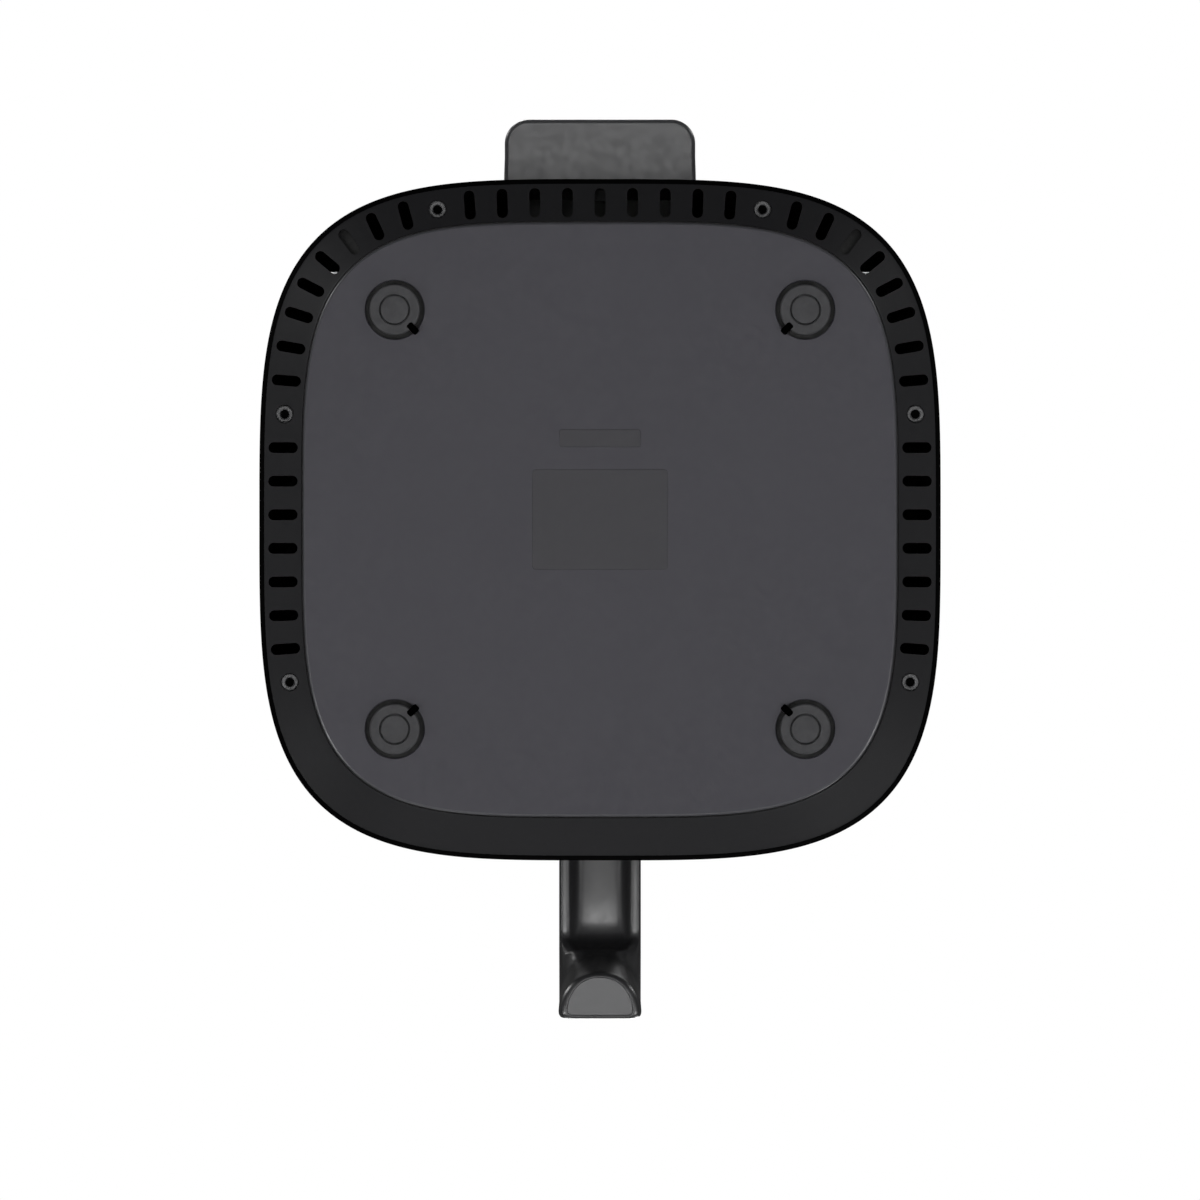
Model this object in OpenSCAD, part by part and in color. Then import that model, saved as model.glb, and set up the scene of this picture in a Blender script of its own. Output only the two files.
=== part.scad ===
// Countertop air fryer of about 3.5 litres with a pull-out drawer.
// Modelled about the upright axis of the squircle housing, front towards -Y, feet on z = 0.
// One shift (body_y) then puts the origin at the bottom centre of the whole outline.

/* [Housing] */
// Half width of the housing's squircle outline
body_a = 126; // [120:1:132]
// Exponent of the housing's squircle outline
body_n = 3.7; // [3.4:0.1:4]
// Wall thickness of the shells and the top cover
shell_t = 3; // [2.5:0.5:3.5]
// Height of the joint between the shells and the top cover
cover_z = 262; // [260:1:266]
// Height of the flat top of the housing
top_z = 292; // [292:1:294]

/* [Base] */
// Half width of the base plate's squircle outline
plate_a = 109.6; // [108:0.2:110.4]
// Exponent of the base plate's squircle outline
plate_n = 4; // [3.8:0.1:4.2]
// Height of the underside of the base plate, which is how far the feet stand proud
plate_z = 4; // [3:0.5:5]
// Length of one air intake slot
slot_l = 10.6; // [8:0.2:11]
// Width of one air intake slot
slot_w = 4; // [3:0.2:5]
// Half width of the line that the slots and screws are centred on
slot_a = 117.4; // [116.5:0.1:118]
// Exponent of that line
slot_n = 3.87; // [3.7:0.01:4]
// Spacing of the slots along the rear
pitch_rear = 12.04; // [11.8:0.02:12.2]
// Spacing of the slots round the rear corners
pitch_corner = 11.16; // [11:0.02:11.4]
// Spacing of the slots along the sides
pitch_side = 12.4; // [12.2:0.05:12.6]

/* [Feet] */
// Radius of a rubber foot
foot_r = 8.9; // [8:0.1:9.5]
// Distance of the feet from the centre line, side to side
foot_x = 75.7; // [70:0.1:78]
// Distance of the feet from the centre line, front to back
foot_y = 77.3; // [70:0.1:80]

/* [Drawer] */
// Half width of the drawer opening in the shell
window_x = 99; // [97:0.5:99]
// Bottom edge of the drawer opening
window_z0 = 30; // [28:1:31]
// Top edge of the drawer opening
window_z1 = 176; // [174:1:178]
// Half width of the square frying pan
pan_w = 93.5; // [90:0.5:93.5]
// Height of the pan's rim
pan_top = 150; // [140:1:150]
// Thickness of the pan's steel wall
pan_t = 1.5; // [1.2:0.1:2]
// Gap between the drawer front and the edge of its opening
front_gap = 1; // [0.6:0.1:1.5]

/* [Handle] */
// Width of the handle
handle_w = 31; // [26:0.2:34]
// How far the handle stands out from the housing
handle_out = 60; // [54:0.2:64]
// Depth of the grip at its lower end
grip_d = 16.2; // [14:0.2:18]
// Height of the grip's lower end
grip_z = 62; // [56:1:80]
// Height of the arm's top face
arm_top = 168; // [164:1:170]
// Height of the arm's underside at its rims
arm_z = 146; // [142:1:150]

/* [Exhaust] */
// Width of the rear exhaust hood
hood_w = 72; // [66:1:76]
// How far the hood stands out from the housing
hood_out = 24.4; // [18:0.2:26]
// Height of the hood's underside
hood_z0 = 84; // [80:1:100]
// Height of the hood's top
hood_z1 = 214; // [211:1:220]

/* [Dial] */
// Radius of the control dial
dial_r = 21; // [18:0.5:24]
// Height of the dial's top face
dial_top = 304; // [302:0.5:308]
// Distance of the dial's axis in front of the housing's axis
dial_y = 30; // [26:1:32]
// Radius of the glass control panel
glass_r = 56; // [54:1:58]

/* [Hidden] */
$fn = 64;

eps = 0.01;
outline_points = 120;
body_y = (handle_out - hood_out) / 2;      // shift that centres the whole outline on the origin
inner_a = body_a - shell_t;                // inside of the shell

ring_z0 = plate_z + 1;                     // lower inner edge of the base ring
shell_z0 = 17;                             // joint between base ring and shells
split_y = -56;                             // joint between the front and the rear shell
plate_t = 2.5;
seam = 0.4;                                // gap between base plate and base ring
flange_in = 6;                             // how far the ring's flange reaches behind the plate
flange_z = ring_z0 + 5;                    // top of that flange

foot_pocket_r = 10.9;
foot_pocket_d = 1.5;
foot_stem_r = 3;
foot_groove_r = 5.6;
notch_w = 2.7;
notch_r0 = 7.3;
notch_r1 = 12;

screw_head_r = 3.1;
screw_head_h = 2;
screw_seat_z = 14.8;
screw_boss_r = 5.2;
screw_r = 1.5;
screw_hole_r = 1.6;
slot_count = 21;                           // last slot position on each side
screw_steps = [5, 14, 22];                 // positions that hold a screw in place of a slot
blind_step = 8;                            // slot that a rib behind it closes
blind_depth = 2.2;

pan_y = -10;                               // centre of the pan, front to back
pan_z0 = 40;
pan_corner_r = 22;
chamber_x = 100;
chamber_front = -98;
chamber_rear = 92;
chamber_z0 = 36;
chamber_z1 = 232;
sheet = 1.2;                               // sheet steel of the chamber
panel_x = 95;                              // half width of the drawer's inner panel
panel_back = -105;
panel_t = 2.5;

crisper_z = 56;                            // underside of the crisper plate
crisper_t = 1.6;
plate_foot = 66.5;                         // the plate's feet, from the middle of the pan

fan_z0 = 206;                              // bottom of the hot air fan
cooling_z = 236;                           // bottom of the cooling fan above the chamber
element_z = 198;
element_r = 3.2;
element_out = 70;
element_in = 48;
guard_z = 190;
guard_r = 82;
reflector_r = 78;
terminal_angle = 10;
terminal_r = 3.6;
shaft_r = 3;
bracket_z = 250;
bracket_r = 56;
motor_z0 = 252;
motor_r = 30;
motor_h = 24;

exhaust_x = 26;                            // half width of the exhaust slots
duct_x = 30;
duct_t = 2;
duct_z0 = 178;
duct_z1 = 208;
post_pos = [86, 62];                       // posts under the chamber, from the housing's axis
post_r = 5;
seal_t = 3;
rail_x = 87;                               // inner edge of the drawer's rails
grommet_z = 48;
grommet_r = 8;
cord_bore_r = 3.7;
switch_x = 60;
switch_z = 105;
sensor_pos = [84, -60];
cutoff_pos = [64, 62];

glass_t = 3;                               // glass panel, and the ledge of the cover under it
under_glass = 0.4;                         // clearance between the glass and what stands below it
board_z = 280;
board_t = 1.6;
stem_r = 3;

board_pos = [-74, 62];                     // centre of the power board on the chamber's roof
power_z = 238;
wire_reference = [0.8, -0.5, 0.33];        // direction that no wire runs along
supply_route = [
    [-14, 106, 52], [-28, 105, 62], [-50, 105, 90], [-50, 105, 235], [-61, 88, 258], [-61, 73, 249.7]];
heater_route_a = [[-68, 72, 250], [-66, 76, 262], [0, 78, 262], [58, 44, 254], [69, 13, 244.2]];
heater_route_b = [
    [-69, 72, 250], [-72, 80, 258], [0, 86, 255], [72, 48, 252], [84, 0, 250], [69, -13, 244.2]];
motor_route = [[-54, 72, 250], [-44, 56, 264], [-24.5, 19, 266]];

// ---------- outlines ----------

// Superellipse outline with half width a and exponent n
function superellipse(a, n) = [
    for (i = [0 : outline_points - 1])
        let (t = 360 * (i + 0.5) / outline_points)
            a * [sign(cos(t)) * pow(abs(cos(t)), 2 / n), sign(sin(t)) * pow(abs(sin(t)), 2 / n)]];

// Distance from the centre to a superellipse in the direction t
function radius_at(a, n, t) = a / pow(pow(abs(cos(t)), n) + pow(abs(sin(t)), n), 1 / n);
function point_at(a, n, t) = radius_at(a, n, t) * [cos(t), sin(t)];
// Direction of the outward normal of a superellipse at the polar angle t
function normal_at(n, t) =
    atan2(sign(sin(t)) * pow(abs(sin(t)), n - 1), sign(cos(t)) * pow(abs(cos(t)), n - 1));

// Table of [arc length, polar angle] along the slot line, from the rear middle
walk_step = 1;
slot_walk = [
    for (t = 90, s = 0; t <= 260;
         s = s + norm(point_at(slot_a, slot_n, t + walk_step) - point_at(slot_a, slot_n, t)),
         t = t + walk_step)
        [s, t]];
// Arc length of slot position i: the rear, then the corner, then the side
function slot_length(i) =
    min(i, 7) * pitch_rear + max(0, min(i, 11) - 7) * pitch_corner + max(0, i - 11) * pitch_side;
function slot_angle(i) = lookup(slot_length(i), slot_walk);

module squircle(a, n = body_n) polygon(superellipse(a, n));

module prism(a, n, z0, z1) translate([0, 0, z0]) linear_extrude(z1 - z0) squircle(a, n);

module rounded_rect(w, d, r) {
    square([w - 2 * r, d], center = true);
    square([w, d - 2 * r], center = true);
    for (x = [-1, 1], y = [-1, 1])
        translate([x * (w / 2 - r), y * (d / 2 - r)]) circle(r);
}

module box(x0, x1, y0, y1, z0, z1) translate([x0, y0, z0]) cube([x1 - x0, y1 - y0, z1 - z0]);

// Tube or rod between two heights
module rod(r, z0, z1) translate([0, 0, z0]) cylinder(r = r, h = z1 - z0);

// Wall of the housing between two heights
module housing_wall(z0, z1) {
    difference() {
        prism(body_a, body_n, z0, z1);
        prism(inner_a, body_n, z0 - 1, z1 + 1);
    }
}

// Puts its children on slot position i of either side (side = 1 left, -1 right, seen from above)
module on_slot_line(i, side) {
    t = slot_angle(i);
    mirror([side > 0 ? 0 : 1, 0, 0])
        translate(point_at(slot_a, slot_n, t))
            rotate(normal_at(slot_n, t))
                children();
}

module each_screw() for (i = screw_steps, side = [-1, 1]) on_slot_line(i, side) children();

// ---------- base ----------

module slot_cutter(depth_z) {
    linear_extrude(depth_z) {
        square([slot_l - slot_w, slot_w], center = true);
        for (x = [-1, 1]) translate([x * (slot_l - slot_w) / 2, 0]) circle(slot_w / 2);
    }
}

module intake_slots() {
    translate([0, slot_a, 0]) rotate(90) slot_cutter(3 * shell_z0);
    for (i = [1 : slot_count], side = [-1, 1])
        if (len(search(i, screw_steps)) == 0 && i != blind_step)
            on_slot_line(i, side) slot_cutter(3 * shell_z0);
    for (side = [-1, 1])
        on_slot_line(blind_step, side) slot_cutter((ring_z0 + shell_z0) / 2 + blind_depth);
}

// Dark ring that slopes from the base plate out to the shell, with the intake slots
module base_ring() {
    color([0.045, 0.045, 0.05])
        difference() {
            union() {
                difference() {
                    hull() {
                        prism(plate_a + 1, plate_n, ring_z0, ring_z0 + eps);
                        prism(body_a, body_n, shell_z0 - eps, shell_z0);
                    }
                    hull() {
                        prism(plate_a - 2, plate_n, flange_z - 1, flange_z);
                        prism(inner_a, body_n, shell_z0, shell_z0 + 1);
                    }
                }
                each_screw() rod(screw_boss_r, screw_seat_z - 0.2, screw_seat_z + 3.5);
            }
            prism(plate_a + seam, plate_n, 0, plate_z + plate_t);
            prism(plate_a - flange_in, plate_n, 0, shell_z0 + 1);
            intake_slots();
            each_screw() {
                rod(screw_head_r + 0.2, 0, screw_seat_z);
                rod(screw_hole_r, 0, screw_seat_z + 4);
            }
        }
}

module foot_positions() for (x = [-1, 1], y = [-1, 1]) translate([x * foot_x, y * foot_y, 0]) children();

// Lever notch that crosses the foot's edge, pointing to the middle of the plate
module foot_notch(x, y) {
    rotate(atan2(-y * foot_y, -x * foot_x))
        translate([notch_r0, -notch_w / 2, -1])
            cube([notch_r1 - notch_r0, notch_w, plate_z + foot_pocket_d + 1]);
}

module base_plate() {
    color([0.28, 0.275, 0.29])
        difference() {
            prism(plate_a, plate_n, plate_z, plate_z + plate_t);
            foot_positions() {
                rod(foot_pocket_r, plate_z - 1, plate_z + foot_pocket_d);
                rod(foot_stem_r, plate_z - 1, plate_z + plate_t + 1);
            }
            for (x = [-1, 1], y = [-1, 1])
                translate([x * foot_x, y * foot_y, 0]) foot_notch(x, y);
        }
}

module foot(x, y) {
    color([0.27, 0.27, 0.28])
        translate([x * foot_x, y * foot_y, 0])
            difference() {
                union() {
                    rod(foot_r, 0, plate_z + foot_pocket_d);
                    rod(foot_stem_r, 1, plate_z + plate_t + 1.5);
                }
                rod(foot_groove_r, -1, 0.5);
                foot_notch(x, y);
            }
}

module base_screws() {
    color([0.25, 0.25, 0.26])
        each_screw() {
            difference() {
                rod(screw_head_r, screw_seat_z - screw_head_h, screw_seat_z);
                translate([0, 0, screw_seat_z - screw_head_h - 1]) cylinder(r = 1.4, h = 2.2, $fn = 6);
            }
            rod(screw_r, screw_seat_z, screw_seat_z + 6);
        }
}

// Blank rating plate and serial strip, with no marks
module rating_label() {
    film = 0.2;
    strip_y = 30;
    color([0.27, 0.265, 0.28])
        translate([0, 0, plate_z - film]) linear_extrude(film) {
            rounded_rect(50, 37, 1.5);
            translate([0, strip_y]) rounded_rect(30, 6.5, 1);
        }
}

// Posts that carry the cooking chamber on the base plate
module chamber_posts() {
    color([0.6, 0.6, 0.6])
        for (x = [-1, 1], y = [-1, 1])
            translate([x * post_pos.x, y * post_pos.y, 0]) difference() {
                rod(post_r, plate_z + plate_t, chamber_z0);
                rod(screw_r, plate_z + plate_t - 1, chamber_z0 - 8);
            }
}

// ---------- housing ----------

// Stack of level slots through a wall between y0 and y1
module exhaust_slots(z0, count, pitch, height, y0, y1) {
    for (i = [0 : count - 1])
        box(-exhaust_x, exhaust_x, y0, y1, z0 + i * pitch, z0 + i * pitch + height);
}

// Front of the housing, round the drawer opening
module front_shell() {
    color([0.05, 0.05, 0.055])
        difference() {
            intersection() {
                housing_wall(shell_z0, cover_z);
                box(-body_a - 1, body_a + 1, -body_a - 1, split_y, shell_z0, cover_z);
            }
            box(-window_x, window_x, -body_a - 1, split_y, window_z0, window_z1);
        }
}

// Sides and back of the housing
module rear_shell() {
    color([0.05, 0.05, 0.055])
        difference() {
            intersection() {
                housing_wall(shell_z0, cover_z);
                box(-body_a - 1, body_a + 1, split_y, body_a + 1, shell_z0, cover_z);
            }
            exhaust_slots(duct_z0 + 4, 5, 5, 3, inner_a - 1, body_a + 1);
            translate([0, body_a + 1, grommet_z]) rotate([90, 0, 0]) cylinder(r = grommet_r, h = 20);
        }
}

// Frame behind the edge of the drawer opening
module front_frame() {
    color([0.08, 0.08, 0.08])
        intersection() {
            prism(inner_a, body_n, window_z0 - 4, window_z1 + 4);
            difference() {
                box(-window_x - 3, window_x + 3, -body_a, -101, window_z0 - 3, window_z1 + 3);
                box(-window_x, window_x, -body_a - 1, -100, window_z0, window_z1);
            }
        }
}

module exhaust_hood() {
    hood_wall = 2.5;
    corner = 8.5;
    depth = 30;                            // reaches into the housing before it is cut to the wall
    outer_y = body_a + hood_out;
    color([0.1, 0.1, 0.105])
        difference() {
            translate([0, outer_y - depth, hood_z0]) linear_extrude(hood_z1 - hood_z0)
                translate([0, depth / 2]) difference() {
                    rounded_rect(hood_w, depth, corner);
                    translate([0, depth / 2 - outer_y]) squircle(body_a);
                }
            translate([0, outer_y - depth, hood_z0 + hood_wall])
                linear_extrude(hood_z1 - hood_z0 - 2 * hood_wall)
                    translate([0, depth / 2 - hood_wall])
                        rounded_rect(hood_w - 2 * hood_wall, depth, corner - hood_wall);
            exhaust_slots(hood_z0 + 15, 13, 8, 3.8, outer_y - 5, outer_y + 1);
        }
}

// Duct from the chamber's rear wall to the shell
module exhaust_duct() {
    color([0.62, 0.62, 0.63])
        intersection() {
            prism(inner_a, body_n, duct_z0 - 1, duct_z1 + 1);
            difference() {
                box(-duct_x, duct_x, chamber_rear, body_a, duct_z0, duct_z1);
                box(-duct_x + duct_t, duct_x - duct_t, chamber_rear - 1, body_a + 1,
                    duct_z0 + duct_t, duct_z1 - duct_t);
            }
        }
}

module cord_grommet() {
    color([0.06, 0.06, 0.06])
        translate([0, 0, grommet_z]) rotate([-90, 0, 0]) difference() {
            union() {
                rod(grommet_r, inner_a - 0.5, body_a);
                rod(grommet_r + 3, inner_a - 5, inner_a - 0.5);
            }
            rod(cord_bore_r, inner_a - 6, body_a + 1);
        }
}

module top_cover() {
    color([0.05, 0.05, 0.055]) {
        difference() {
            union() {
                housing_wall(cover_z, top_z - eps);
                prism(body_a, body_n, top_z - 2 * glass_t, top_z);
            }
            translate([0, -dial_y, 0]) {
                rod(glass_r + 0.3, top_z - glass_t, top_z + 1);
                rod(glass_r - 4, board_z, top_z);
            }
        }
        board_corners() rod(2.5, board_z + board_t, top_z - 2 * glass_t);
    }
}

module glass_panel() {
    color([0.02, 0.02, 0.025])
        translate([0, -dial_y, 0]) difference() {
            rod(glass_r, top_z - glass_t, top_z);
            rod(stem_r + 1.2, top_z - glass_t - 1, top_z + 1);
        }
}

// ---------- cooking chamber ----------

module cooking_chamber() {
    color([0.7, 0.7, 0.71])
        difference() {
            box(-chamber_x, chamber_x, chamber_front, chamber_rear, chamber_z0, chamber_z1);
            box(-chamber_x + sheet, chamber_x - sheet, chamber_front + sheet, chamber_rear - sheet,
                chamber_z0 + sheet, chamber_z1 - sheet);
            box(-chamber_x + sheet, chamber_x - sheet, chamber_front - 1, chamber_front + 2 * sheet,
                chamber_z0 + sheet, window_z1);
            box(-duct_x + duct_t, duct_x - duct_t, chamber_rear - 5, chamber_rear + 1,
                duct_z0 + duct_t, duct_z1 - duct_t);
            rod(8, chamber_z1 - 5, chamber_z1 + 1);
            terminal_positions() rod(5, chamber_z1 - 5, chamber_z1 + 1);
            translate(sensor_pos) rod(2.3, chamber_z1 - 5, chamber_z1 + 1);
            translate([switch_x, chamber_rear + 1, switch_z]) rotate([90, 0, 0]) cylinder(r = 2, h = 5);
        }
}

// Silicone seal round the mouth of the chamber
module chamber_seal() {
    color([0.3, 0.3, 0.3])
        difference() {
            box(-chamber_x - 2, chamber_x + 2, chamber_front - seal_t, chamber_front,
                chamber_z0 - seal_t / 2, window_z1 + seal_t);
            box(-chamber_x + sheet, chamber_x - sheet, chamber_front - 4, chamber_front + 1,
                chamber_z0 + sheet, window_z1);
        }
}

module drawer_rail(side) {
    color([0.75, 0.75, 0.76])
        mirror([side > 0 ? 0 : 1, 0, 0])
            box(rail_x, chamber_x - sheet, chamber_front + 3, chamber_rear - 8,
                chamber_z0 + sheet, pan_z0 - 0.3);
}

// Switch that cuts the heater when the drawer is out, with its plunger through the rear wall
module drawer_switch() {
    color([0.1, 0.1, 0.3]) {
        box(switch_x - 10, switch_x + 10, chamber_rear, chamber_rear + 8, switch_z - 5, switch_z + 5);
        translate([switch_x, chamber_rear + 1, switch_z]) rotate([90, 0, 0])
            cylinder(r = 1.6, h = chamber_rear + 1 - (pan_y + pan_w) - 0.5);
    }
}

module heat_reflector() {
    color([0.8, 0.8, 0.82])
        difference() {
            rod(reflector_r, 225, 226);
            rod(12, 224, 227);
            terminal_positions() rod(5, 224, 227);
        }
    color([0.8, 0.8, 0.82])
        for (a = [45 : 90 : 315]) rotate(a) translate([66, 0, 0]) rod(2.5, 226, chamber_z1 - sheet);
}

module terminal_positions() {
    for (a = [terminal_angle, -terminal_angle]) rotate(a) translate([element_out, 0, 0]) children();
}

module ring_tube(major, minor, from, sweep) {
    rotate(from) rotate_extrude(angle = sweep) translate([major, 0]) circle(minor, $fn = 16);
}

// Tubular heater: an open outer loop with two terminals, joined to an inner loop
module heating_element() {
    color([0.35, 0.33, 0.31]) {
        translate([0, 0, element_z]) {
            ring_tube(element_out, element_r, terminal_angle, 360 - 2 * terminal_angle);
            ring_tube(element_in, element_r, 0, 360);
            translate([-element_out, 0, 0]) rotate([0, 90, 0])
                cylinder(r = element_r - 0.4, h = element_out - element_in);
        }
        terminal_positions() rod(terminal_r, element_z - terminal_r, chamber_z1 + 12);
    }
}

module heater_insulators() {
    color([0.9, 0.88, 0.82])
        terminal_positions() difference() {
            union() {
                rod(4.9, chamber_z1 - sheet - 1, chamber_z1 + 6);
                rod(7, chamber_z1, chamber_z1 + 3);
            }
            rod(terminal_r, chamber_z1 - 5, chamber_z1 + 7);
        }
}

// Wire guard under the heater
module element_guard() {
    wire = 1.1;
    color([0.75, 0.75, 0.76])
        translate([0, 0, guard_z]) {
            for (r = [34, 58, guard_r]) ring_tube(r, wire, 0, 360);
            for (a = [0, 60, 120]) rotate([90, 0, a + 30])
                cylinder(r = wire - 0.2, h = 2 * guard_r, center = true);
            for (a = [45 : 90 : 315]) rotate(a) translate([guard_r, 0, 0])
                cylinder(r = wire + 0.4, h = chamber_z1 - sheet - guard_z);
        }
}

module temperature_sensor() {
    color([0.8, 0.8, 0.8])
        translate(sensor_pos) {
            rod(2, 204, chamber_z1 + 8);
            rod(5, chamber_z1, chamber_z1 + 2);
        }
}

module thermal_cutoff() {
    color([0.85, 0.8, 0.7])
        translate(cutoff_pos) {
            rod(9, chamber_z1, chamber_z1 + 6);
            for (x = [-1, 1]) box(x * 5 - 1.5, x * 5 + 1.5, -3, 3, chamber_z1 + 5, chamber_z1 + 12);
        }
}

// ---------- drive ----------

module motor_bracket() {
    color([0.7, 0.7, 0.72]) {
        difference() {
            rod(bracket_r, bracket_z, motor_z0);
            rod(9, bracket_z - 1, motor_z0 + 1);
            for (a = [0 : 45 : 315]) rotate(a) translate([43, 0, 0]) rod(6, bracket_z - 1, motor_z0 + 1);
        }
        for (a = [60 : 120 : 300]) rotate(a) translate([bracket_r - 4, 0, 0]) rod(3, chamber_z1, bracket_z);
    }
}

module motor_housing() {
    color([0.55, 0.56, 0.58])
        difference() {
            rod(motor_r, motor_z0, motor_z0 + motor_h);
            rod(19, motor_z0 + 3, motor_z0 + motor_h - 3);
            rod(6, motor_z0 - 1, motor_z0 + motor_h + 1);
        }
}

module shaft_bushes() {
    color([0.75, 0.6, 0.3])
        for (z = [motor_z0, motor_z0 + motor_h - 3]) difference() {
            rod(6, z, z + 3);
            rod(shaft_r + 0.05, z - 1, z + 4);
        }
}

module motor_rotor() {
    color([0.5, 0.45, 0.4])
        difference() {
            rod(18, motor_z0 + 4, motor_z0 + motor_h - 4);
            rod(shaft_r, motor_z0, motor_z0 + motor_h);
        }
}

module motor_shaft() {
    color([0.8, 0.8, 0.82]) rod(shaft_r, fan_z0 - 6, motor_z0 + motor_h - 1);
}

// Radial fan wheel: hub, disc and straight blades, with a bore for the shaft
module fan_wheel(r, z0, h, hub_r, blades, disc_z, twist_angle) {
    disc_t = 1.2;
    blade_t = 1.2;
    difference() {
        union() {
            rod(hub_r, z0, z0 + h);
            rod(r, disc_z, disc_z + disc_t);
            for (i = [0 : blades - 1]) rotate(i * 360 / blades)
                translate([hub_r + 4, 0, z0]) rotate(twist_angle)
                    translate([0, -blade_t / 2, 0]) cube([(r - hub_r - 4) * 0.94, blade_t, h]);
        }
        rod(shaft_r, z0 - 1, z0 + h + 2);
    }
}

module hot_air_fan()
    color([0.78, 0.78, 0.8])
        fan_wheel(r = 62, z0 = fan_z0, h = 15, hub_r = 11,
                  blades = 12, disc_z = fan_z0 + 13.8, twist_angle = 18);

module cooling_fan()
    color([0.12, 0.12, 0.12])
        fan_wheel(r = 45, z0 = cooling_z, h = 10, hub_r = 10,
                  blades = 9, disc_z = cooling_z, twist_angle = 20);

module fan_nut() {
    color([0.8, 0.78, 0.72])
        difference() {
            translate([0, 0, fan_z0 - 5]) cylinder(r = 6.5, h = 5, $fn = 6);
            rod(shaft_r, fan_z0 - 6, fan_z0 + 1);
        }
}

// ---------- electronics ----------

module power_board() {
    color([0.1, 0.35, 0.15])
        translate(board_pos) {
            box(-27, 27, -22, 22, power_z, power_z + board_t);
            for (x = [-23, 23], y = [-18, 18]) translate([x, y, 0]) rod(2.5, chamber_z1, power_z);
        }
}

module on_power_board() translate([board_pos.x, board_pos.y, power_z + board_t]) children();

module relay() color([0.15, 0.3, 0.6]) on_power_board() box(-25, -6, -19, -4, 0, 15);

module filter_capacitor() color([0.8, 0.7, 0.2]) on_power_board() box(-24, -4, 2, 11, 0, 13);

module transformer() color([0.5, 0.45, 0.3]) on_power_board() {
    box(2, 22, -19, -2, 0, 16);
    box(4, 20, -2, 0, 2, 14);
}

module terminal_block() color([0.1, 0.4, 0.2]) on_power_board() difference() {
    box(2, 24, 6, 15, 0, 10);
    for (x = [5.5, 13, 20.5]) translate([x, 10.5, 2]) cylinder(r = 2, h = 10);
}

function unit(v) = v / norm(v);
// Direction of a route at its point i
function heading(points, i) =
    unit(points[min(i + 1, len(points) - 1)] - points[max(i - 1, 0)]);
// Ring of eight corners round a point, square to the heading
function wire_ring(centre, along, r) =
    let (side = unit(cross(along, wire_reference)), up = cross(side, along))
        [for (a = [0 : 45 : 315]) centre + r * (cos(a) * side + sin(a) * up)];

// Wire swept along a route
module wire(points, r = 1.4) {
    last = 8 * (len(points) - 1);
    rings = [for (i = [0 : len(points) - 1]) each wire_ring(points[i], heading(points, i), r)];
    sides = [
        for (i = [0 : 8 : last - 8], k = [0 : 7])
            let (next = (k + 1) % 8)
                each [[i + k, i + 8 + next, i + next], [i + k, i + 8 + k, i + 8 + next]]];
    polyhedron(rings, concat([[for (k = [0 : 7]) k]], sides, [[for (k = [7 : -1 : 0]) last + k]]));
}

// Mains wires up the back, two heater wires and one to the motor
module wiring() {
    color([0.6, 0.1, 0.08]) {
        wire(supply_route, 2.6);
        for (route = [heater_route_a, heater_route_b, motor_route]) wire(route);
    }
}

module board_corners() for (x = [-1, 1], y = [-1, 1]) translate([x * 47, -dial_y + y * 38, 0]) children();

module control_board() {
    color([0.1, 0.35, 0.15])
        difference() {
            box(-51, 51, -dial_y - 42, -dial_y + 42, board_z, board_z + board_t);
            board_corners() rod(1.3, board_z - 1, board_z + board_t + 1);
        }
}

module display_module() {
    color([0.1, 0.1, 0.1])
        box(-24, 24, -dial_y - 38, -dial_y - 20, board_z + board_t, top_z - glass_t - under_glass);
}

module encoder_body() {
    color([0.6, 0.62, 0.6])
        translate([0, -dial_y, 0]) difference() {
            box(-7, 7, -7, 7, board_z + board_t, top_z - glass_t - under_glass);
            rod(stem_r + 0.1, board_z + board_t + 1, top_z);
        }
}

// ---------- dial ----------

module dial_plunger() {
    color([0.8, 0.8, 0.8])
        translate([0, -dial_y, 0]) rod(2, board_z + board_t + 2, board_z + board_t + 3);
}

module dial_shaft() {
    color([0.8, 0.8, 0.8])
        translate([0, -dial_y, 0]) rod(stem_r, board_z + board_t + 3, dial_top - 3);
}

module dial_knob() {
    skirt = 1.2;
    color([0.1, 0.1, 0.1])
        translate([0, -dial_y, 0]) difference() {
            rod(dial_r, top_z + skirt, dial_top);
            difference() {
                rod(dial_r - 2.5, top_z, dial_top - 3);
                rod(6, top_z, dial_top);
            }
            rod(stem_r, top_z, dial_top - 3);
        }
}

// ---------- drawer ----------

module drawer_front() {
    color([0.05, 0.05, 0.055])
        difference() {
            intersection() {
                housing_wall(window_z0 + front_gap, window_z1 - front_gap);
                box(-window_x + front_gap, window_x - front_gap, -body_a - 1, -40, 0, top_z);
            }
            handle_screw_positions() cylinder(r = 2, h = 30);
        }
}

// Tray behind the drawer front, which the pan is fixed to
module drawer_inner_panel() {
    color([0.15, 0.15, 0.15])
        difference() {
            intersection() {
                prism(inner_a - 0.3, body_n, window_z0 + 3, window_z1 - 3);
                box(-panel_x, panel_x, -body_a, panel_back, 0, top_z);
            }
            box(-panel_x + panel_t, panel_x - panel_t, -body_a, panel_back - panel_t,
                window_z0 + 3 + panel_t, window_z1 - 3 - panel_t);
            handle_screw_positions() cylinder(r = 4, h = 30);
        }
}

module pan_bracket() {
    color([0.7, 0.7, 0.7]) box(-40, 40, panel_back, pan_y - pan_w, 60, 140);
}

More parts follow.
